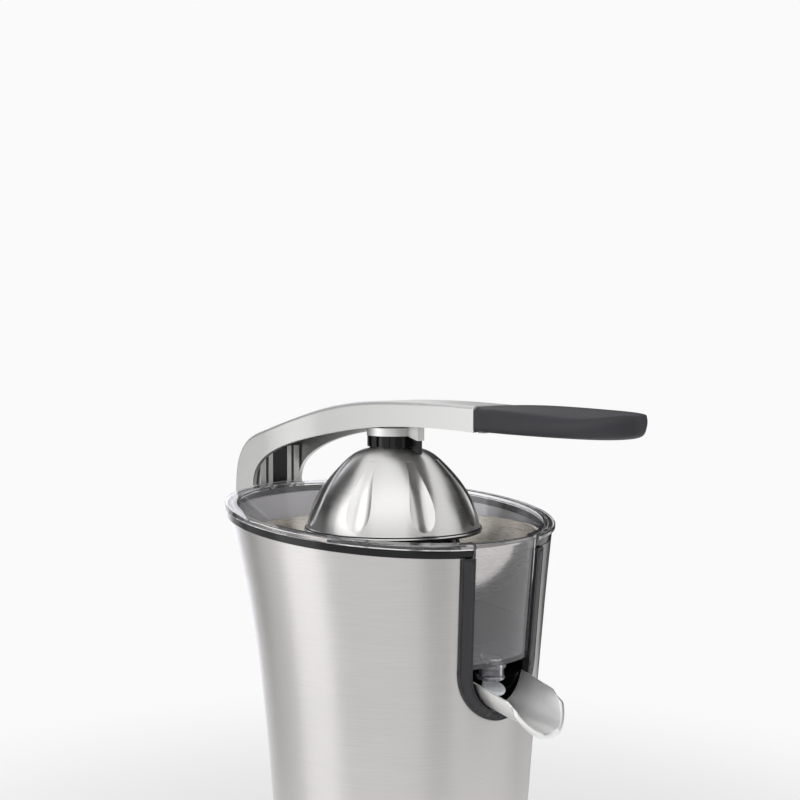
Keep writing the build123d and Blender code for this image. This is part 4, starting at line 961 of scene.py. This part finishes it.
@dataclass
class PressHead(SubAssembly):
    """Fluted hood with its collar, boss and screw."""

    # black ring round the hood's lower edge: a dark piece that paints the shade under the hood's lip
    lip_shade_radius: float = 50.9
    lip_shade_middle: float = -11.1
    lip_shade_height: float = 2.8
    bead_wall: float = 2.0
    bead_edge: float = 0.3
    collar_edge: float = 0.6
    collar_slim: tuple[float, float] = (17.4, 0.90)     # radius that it holds for, and share
    boss_edge: float = 0.5
    boss_slim: tuple[float, float] = (17.3, 0.90)

    def build(self) -> None:
        """Round the edges of the collar and the boss, and set a black ring under the hood's lip as painted shade."""
        self.softened("hood_collar", Slot.BLACK_PLASTIC, self.collar_edge, segments=3, slim=self.collar_slim)
        self.softened("hood_boss", Slot.CAST_ALLOY, self.boss_edge, slim=self.boss_slim)
        # painted shade: a black ring along the hood's lower edge stands for the dark line under its lip
        bead = Bench.hoop("hood_lip_shade_ring", self.lip_shade_radius, (0.0, DRIVE_Y, RIM_HEIGHT + self.lip_shade_middle),
                          self.lip_shade_height, self.bead_wall, self.bead_edge, sides=160, rounds=2)
        self.add_beside(bead, "press_hood", Slot.BLACK_PLASTIC)

    def dress(self) -> None:
        """Finish the nodes that stay."""
        self.dress_nodes({
            "press_hood": Slot.HOOD_STEEL,
            "hood_screw": Slot.ZINC_STEEL,
        })


@dataclass(frozen=True)
class GripSection:
    """Half of the grip's outline at one distance from the rim's centre, in millimetres."""

    y: float
    top: float                          # height of the crown
    ridge: tuple[float, float]          # half-width and height of the soft ridge
    side: tuple[float, float]           # upper edge of the flank
    flank: tuple[float, float]          # its lower edge
    corner: tuple[float, float]         # bottom corner
    belly: float                        # height of the underside

    def ring(self) -> list[Vector]:
        """Points of the whole outline.

        Returns:
            The points in order round the grip, in metres.
        """
        brow = (0.55 * self.ridge[0], self.top - 0.3 * (self.top - self.ridge[1]))
        half = [brow, self.ridge, self.side, self.flank, self.corner]
        outline = [(0.0, self.top), *half, (0.0, self.belly), *[(-x, z) for x, z in reversed(half)]]
        return [metres(rim(x, self.y, z)) for x, z in outline]


@dataclass
class Lever(SubAssembly):
    """Cast arm, grip, hinge pin and the tower that carries it."""

    tongue: GripSection = GripSection(-68.5, 57.2, (12.9, 57.2), (13.2, 57.0), (13.2, 49.0), (12.9, 48.8), 48.8)
    grip: tuple[GripSection, ...] = (
        GripSection(-81.1, 61.3, (13.4, 60.9), (16.0, 58.4), (16.2, 50.0), (15.4, 48.0), 47.8),
        GripSection(-84.0, 61.7, (13.6, 60.9), (16.4, 58.2), (16.6, 50.0), (15.6, 47.8), 47.6),
        GripSection(-97.0, 62.5, (14.9, 60.0), (17.4, 57.4), (17.4, 49.8), (15.8, 47.4), 47.2),
        GripSection(-112.0, 62.9, (15.8, 59.4), (18.4, 56.6), (18.2, 49.6), (16.2, 47.2), 47.0),
        GripSection(-127.0, 62.8, (16.4, 58.4), (19.2, 55.4), (18.6, 49.6), (16.4, 47.0), 46.8),
        GripSection(-142.0, 62.4, (16.8, 57.4), (19.6, 54.2), (18.4, 49.6), (15.4, 46.9), 46.8),
        GripSection(-152.0, 62.0, (16.2, 57.2), (18.8, 53.6), (16.8, 49.2), (13.4, 46.9), 46.8),
        GripSection(-161.0, 61.5, (14.2, 58.2), (16.4, 54.2), (13.8, 49.4), (10.4, 47.1), 46.9),
        GripSection(-168.0, 60.9, (11.2, 59.2), (13.0, 55.2), (10.4, 50.2), (7.6, 47.7), 47.5),
        GripSection(-172.4, 60.4, (7.4, 59.5), (8.8, 55.8), (6.8, 51.2), (5.0, 48.8), 48.5),
        GripSection(-175.2, 59.2, (3.6, 58.6), (4.4, 56.0), (3.4, 52.6), (2.4, 50.6), 50.3),
    )
    ridge_crease: float = 0.45
    arm_edge: float = 0.4
    bracket_edge: float = 0.5
    insert_edge: float = 0.4

    def build(self) -> None:
        """Model the grip and round the edges of the castings."""
        root = self.grip[0]
        seat = replace(self.tongue, y=root.y)
        sections = [part.ring() for part in (self.tongue, seat, *self.grip)]
        piece = Bench.sweep("grip_moulding", sections)
        flat = [ring[0].y for ring in sections[:3]]
        Bench.pick(piece, "EDGE", lambda edge: any(all(abs(v.co.y - y) < MERGE for v in edge.verts) for y in flat))
        bpy.ops.transform.edge_crease(value=1.0)
        ridges = [(ring[2], ring[-2]) for ring in sections[3:]]
        Bench.pick(piece, "EDGE", lambda edge: all(
            any((v.co - point).length < MERGE for pair in ridges for point in pair) for v in edge.verts)
            and abs(edge.verts[0].co.y - edge.verts[1].co.y) > 10 * MERGE)
        bpy.ops.transform.edge_crease(value=self.ridge_crease)
        bpy.ops.object.mode_set(mode="OBJECT")
        Bench.apply(piece, "SUBSURF", levels=3, render_levels=3)
        Bench.smooth(piece, SMOOTH)
        self.hand_over(piece, "grip", Slot.GRIP_PLASTIC)
        self.softened("lever_arm", Slot.CAST_ALLOY, self.arm_edge)
        self.softened("hinge_bracket", Slot.CAST_ALLOY, self.bracket_edge)
        self.softened("tower_insert", Slot.BLACK_PLASTIC, self.insert_edge)

    def dress(self) -> None:
        """Finish the nodes that stay."""
        self.dress_nodes({
            "grip_screw": Slot.ZINC_STEEL,
            "hinge_pin": Slot.ZINC_STEEL,
            "pin_caps": Slot.CAST_ALLOY,
            "bracket_screws": Slot.ZINC_STEEL,
        })


@dataclass
class DriveTrain(SubAssembly):
    """Motor, gears and start switch inside the body."""

    press_travel: float = 2.5       # way down of the shaft, which shortens the spring

    def build(self) -> None:
        """Take the press spring as a piece of its own, with a mesh of its own."""
        piece = self.copied("press_spring", "press_spring_coil")
        bpy.ops.object.mode_set(mode="OBJECT")
        Bench.smooth(piece, SMOOTH)
        self.hand_over(piece, "press_spring", Slot.SPRING_STEEL)
        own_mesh(piece)

    def dress(self) -> None:
        """Finish the nodes that stay."""
        self.dress_nodes({
            "gearbox_housing": Slot.FRAME_PLASTIC,
            "gearbox_cover": Slot.FRAME_PLASTIC,
            "gearbox_screws": Slot.ZINC_STEEL,
            "hub_bearings": Slot.BEARING_BRONZE,
            "idler_axle": Slot.ZINC_STEEL,
            "idler_gear": Slot.GEAR_PLASTIC,
            "output_gear": Slot.GEAR_PLASTIC,
            "motor_can": Slot.ZINC_STEEL,
            "motor_magnets": Slot.FERRITE,
            "motor_end_cap": Slot.FRAME_PLASTIC,
            "motor_bearings": Slot.BEARING_BRONZE,
            "motor_screws": Slot.ZINC_STEEL,
            "motor_shaft": Slot.ZINC_STEEL,
            "motor_armature": Slot.COPPER_WINDINGS,
            "motor_pinion": Slot.ZINC_STEEL,
            "start_switch": Slot.FRAME_PLASTIC,
            "switch_bracket": Slot.ZINC_STEEL,
            "switch_screws": Slot.ZINC_STEEL,
            "switch_plunger": Slot.GEAR_PLASTIC,
        })


# ---------------------------------------------------------------------------- studio
@dataclass
class Softbox:
    """An upright or overhead area light that faces a point of the machine."""

    name: str
    place: Point            # metres
    aim: Point
    width: float
    height: float
    radiance: float
    tone: Colour = (1.0, 1.0, 1.0)

    def build(self) -> bpy.types.Object:
        """Add the light.

        Returns:
            The light's object.
        """
        lamp = bpy.data.lights.new(self.name, "AREA")
        lamp.shape = "RECTANGLE"
        lamp.size = self.width
        lamp.size_y = self.height
        lamp.energy = self.radiance * pi * self.width * self.height
        lamp.color = self.tone
        holder = bpy.data.objects.new(self.name, lamp)
        bpy.context.scene.collection.objects.link(holder)
        holder.location = self.place
        holder.rotation_euler = (Vector(self.aim) - Vector(self.place)).to_track_quat("-Z", "Y").to_euler()
        return holder


@dataclass
class Card:
    """A toned card beside the set that only shows in what is glossy."""

    name: str
    place: Point
    aim: Point
    width: float
    height: float
    tone: Colour

    def build(self) -> bpy.types.Object:
        """Add the card as a piece of the set.

        Returns:
            The card.
        """
        bpy.ops.object.select_all(action="DESELECT")
        bpy.ops.mesh.primitive_plane_add(size=1.0)
        card = bpy.context.object
        card.name = self.name
        card.scale = (self.width, self.height, 1.0)
        card.location = self.place
        card.rotation_euler = (Vector(self.aim) - Vector(self.place)).to_track_quat("-Z", "Y").to_euler()
        material = bpy.data.materials.new(self.name)
        material.use_nodes = True
        tree = material.node_tree
        tree.nodes.clear()
        glow = tree.nodes.new("ShaderNodeEmission")
        glow.inputs["Color"].default_value = (*self.tone, 1.0)
        out = tree.nodes.new("ShaderNodeOutputMaterial")
        tree.links.new(glow.outputs["Emission"], out.inputs["Surface"])
        card.data.materials.append(material)
        card.visible_camera = False
        card.visible_diffuse = False
        card.visible_shadow = False
        card.visible_transmission = False
        return card


@dataclass
class Studio:
    """Pale floor, even surroundings, soft lights and the camera."""

    backdrop: Colour = (0.956, 0.956, 0.956)
    fill: float = 0.55          # how strongly the surroundings light matt surfaces
    floor_radius: float = 0.6
    floor_paint: Colour = (0.9, 0.9, 0.9)
    floor_drop: float = 0.0002      # metres that the table lies below the feet
    floor_share: float = 0.55       # share of the backdrop's brightness that its middle shows
    floor_glow: float = 0.35        # how much brighter the table beside the machine looks in gloss
    aim: Point = (0.0, 0.0, 0.17)   # point that the lights and cards face
    hood_aim: Point = (0.0, 0.0, 0.30)
    camera_place: Point = (-0.4742, -0.5063, 0.3374)
    camera_turn: Point = (88.12, 0.0, -43.16)
    lens: float = 54.617

    def around(self, angle: float, distance: float, height: float) -> Point:
        """Place beside the machine, turned from the camera's side.

        Args:
            angle: degrees from the direction to the camera, to the viewer's right.
            distance: metres from the body's axis.
            height: metres above the table.

        Returns:
            The place in metres.
        """
        span = sqrt(self.camera_place[0] ** 2 + self.camera_place[1] ** 2)
        toward = (self.camera_place[0] / span, self.camera_place[1] / span)
        right = (-toward[1], toward[0])
        a = radians(angle)
        return (
            distance * (cos(a) * toward[0] + sin(a) * right[0]),
            distance * (cos(a) * toward[1] + sin(a) * right[1]),
            height,
        )

    def ray_share(self, tree: bpy.types.NodeTree, seen: bpy.types.NodeSocket | None = None) -> bpy.types.NodeSocket:
        """Value that is 1 for rays that see the set itself: camera, glossy and transmission.

        Args:
            tree: the node tree that the value is made in.
            seen: a share that weakens the value for camera rays.

        Returns:
            The socket with the value.
        """
        path = tree.nodes.new("ShaderNodeLightPath")
        camera = path.outputs["Is Camera Ray"]
        if seen:
            weaker = tree.nodes.new("ShaderNodeMath")
            weaker.operation = "MULTIPLY"
            tree.links.new(camera, weaker.inputs[0])
            tree.links.new(seen, weaker.inputs[1])
            camera = weaker.outputs[0]
        first = tree.nodes.new("ShaderNodeMath")
        first.operation = "MAXIMUM"
        tree.links.new(camera, first.inputs[0])
        tree.links.new(path.outputs["Is Glossy Ray"], first.inputs[1])
        second = tree.nodes.new("ShaderNodeMath")
        second.operation = "MAXIMUM"
        tree.links.new(first.outputs[0], second.inputs[0])
        tree.links.new(path.outputs["Is Transmission Ray"], second.inputs[1])
        return second.outputs[0]

    def surroundings(self) -> None:
        """Even white world: full for what sees it, weaker as light."""
        world = bpy.data.worlds.new("studio")
        bpy.context.scene.world = world
        world.use_nodes = True
        tree = world.node_tree
        tree.nodes.clear()
        out = tree.nodes.new("ShaderNodeOutputWorld")
        seen = tree.nodes.new("ShaderNodeBackground")
        seen.inputs["Color"].default_value = (*self.backdrop, 1.0)
        seen.inputs["Strength"].default_value = 1.0
        lit = tree.nodes.new("ShaderNodeBackground")
        lit.inputs["Color"].default_value = (1.0, 1.0, 1.0, 1.0)
        lit.inputs["Strength"].default_value = self.fill
        mix = tree.nodes.new("ShaderNodeMixShader")
        tree.links.new(self.ray_share(tree), mix.inputs[0])
        tree.links.new(lit.outputs[0], mix.inputs[1])
        tree.links.new(seen.outputs[0], mix.inputs[2])
        tree.links.new(mix.outputs[0], out.inputs["Surface"])

    def falloff(self, reach: bpy.types.Node, inner: float, outer: float, low: float,
                high: float) -> bpy.types.Node:
        """Value that changes softly from the middle of the table outwards.

        Args:
            reach: node whose "Value" is the distance from the middle.
            inner: share of the table's radius up to which the value stays at its first amount.
            outer: share from which it stays at its last.
            low: the first amount.
            high: the last.

        Returns:
            The map range node, whose output is "Result".
        """
        tree = reach.id_data
        ramp = tree.nodes.new("ShaderNodeMapRange")
        ramp.interpolation_type = "SMOOTHSTEP"
        ramp.inputs["From Min"].default_value = inner * self.floor_radius
        ramp.inputs["From Max"].default_value = outer * self.floor_radius
        ramp.inputs["To Min"].default_value = low
        ramp.inputs["To Max"].default_value = high
        tree.links.new(reach.outputs["Value"], ramp.inputs["Value"])
        return ramp

    def floor(self) -> bpy.types.Object:
        """Round pale table top that keeps the machine's soft shadow.

        Returns:
            The table top.
        """
        bpy.ops.object.select_all(action="DESELECT")
        bpy.ops.mesh.primitive_circle_add(vertices=96, radius=self.floor_radius, fill_type="NGON",
                                          location=(0.0, 0.0, -self.floor_drop))
        floor = bpy.context.object
        floor.name = "floor"
        material = bpy.data.materials.new("floor")
        material.use_nodes = True
        tree = material.node_tree
        tree.nodes.clear()
        out = tree.nodes.new("ShaderNodeOutputMaterial")
        paint = tree.nodes.new("ShaderNodeBsdfDiffuse")
        paint.inputs["Color"].default_value = (*self.floor_paint, 1.0)
        glow = tree.nodes.new("ShaderNodeEmission")
        glow.inputs["Color"].default_value = (*self.backdrop, 1.0)
        place = tree.nodes.new("ShaderNodeTexCoord")
        reach = tree.nodes.new("ShaderNodeVectorMath")
        reach.operation = "LENGTH"
        tree.links.new(place.outputs["Object"], reach.inputs[0])
        fade = self.falloff(reach, 0.35, 0.97, self.floor_share, 1.0)
        near = self.falloff(reach, 0.2, 0.55, self.floor_glow, 0.0)
        gloss = tree.nodes.new("ShaderNodeMath")
        gloss.operation = "MULTIPLY_ADD"
        gloss.inputs[2].default_value = 1.0
        tree.links.new(tree.nodes.new("ShaderNodeLightPath").outputs["Is Glossy Ray"], gloss.inputs[0])
        tree.links.new(near.outputs["Result"], gloss.inputs[1])
        tree.links.new(gloss.outputs["Value"], glow.inputs["Strength"])
        mix = tree.nodes.new("ShaderNodeMixShader")
        tree.links.new(self.ray_share(tree, fade.outputs["Result"]), mix.inputs[0])
        tree.links.new(paint.outputs[0], mix.inputs[1])
        tree.links.new(glow.outputs[0], mix.inputs[2])
        tree.links.new(mix.outputs[0], out.inputs["Surface"])
        floor.data.materials.append(material)
        return floor

    def camera(self) -> None:
        """Camera at the viewing angle."""
        lens = bpy.data.cameras.new("camera")
        lens.lens = self.lens
        lens.sensor_width = 36.0
        lens.clip_start = 0.01
        holder = bpy.data.objects.new("camera", lens)
        bpy.context.scene.collection.objects.link(holder)
        holder.location = self.camera_place
        holder.rotation_euler = [radians(a) for a in self.camera_turn]
        bpy.context.scene.camera = holder

    def build(self) -> None:
        """Set the whole studio up."""
        bpy.context.scene.view_settings.view_transform = "Standard"
        self.camera()
        self.surroundings()
        self.floor()
        Softbox("left_softbox", self.around(-66, 1.2, 0.30), self.aim, 0.74, 2.0, 1.2).build()
        Softbox("front_softbox", self.around(5, 0.75, 1.15), self.hood_aim, 1.5, 1.0, 0.55).build()
        for name, angle, distance, height, width, length, tone in (
            ("left_card", -116, 1.0, 0.62, 0.72, 1.1, (0.02, 0.02, 0.02)),
            ("left_low_card", -118, 1.0, -0.2, 0.20, 1.2, (0.42, 0.42, 0.42)),
            ("right_card", 124, 1.0, 0.47, 0.95, 0.8, (0.02, 0.02, 0.02)),
            ("near_card", 30, 1.1, 0.1, 0.40, 1.4, (0.40, 0.40, 0.40)),
            ("right_edge_card", 160, 1.0, 0.25, 0.55, 1.3, (0.03, 0.03, 0.03)),
            ("left_edge_card", -159, 1.0, 0.25, 0.70, 1.3, (1.6, 1.6, 1.7)),
        ):
            Card(name, self.around(angle, distance, height), self.aim, width, length, tone).build()
        LOG.info("studio ready")


def main() -> None:
    """Load the frame, model and dress every sub-assembly, and set up the studio."""
    logging.basicConfig(level=logging.INFO, format="%(message)s")
    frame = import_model()
    Studio().build()
    shop = FinishShop()
    for kind in (Housing, JuiceParts, FrontWindow, FoldingSpout, PressHead, Lever, DriveTrain):
        unit = kind(frame, shop)
        unit.build()
        unit.dress()
        LOG.info("%s: %d new pieces", kind.__name__, len(unit.pieces))


if __name__ == "__main__":
    main()
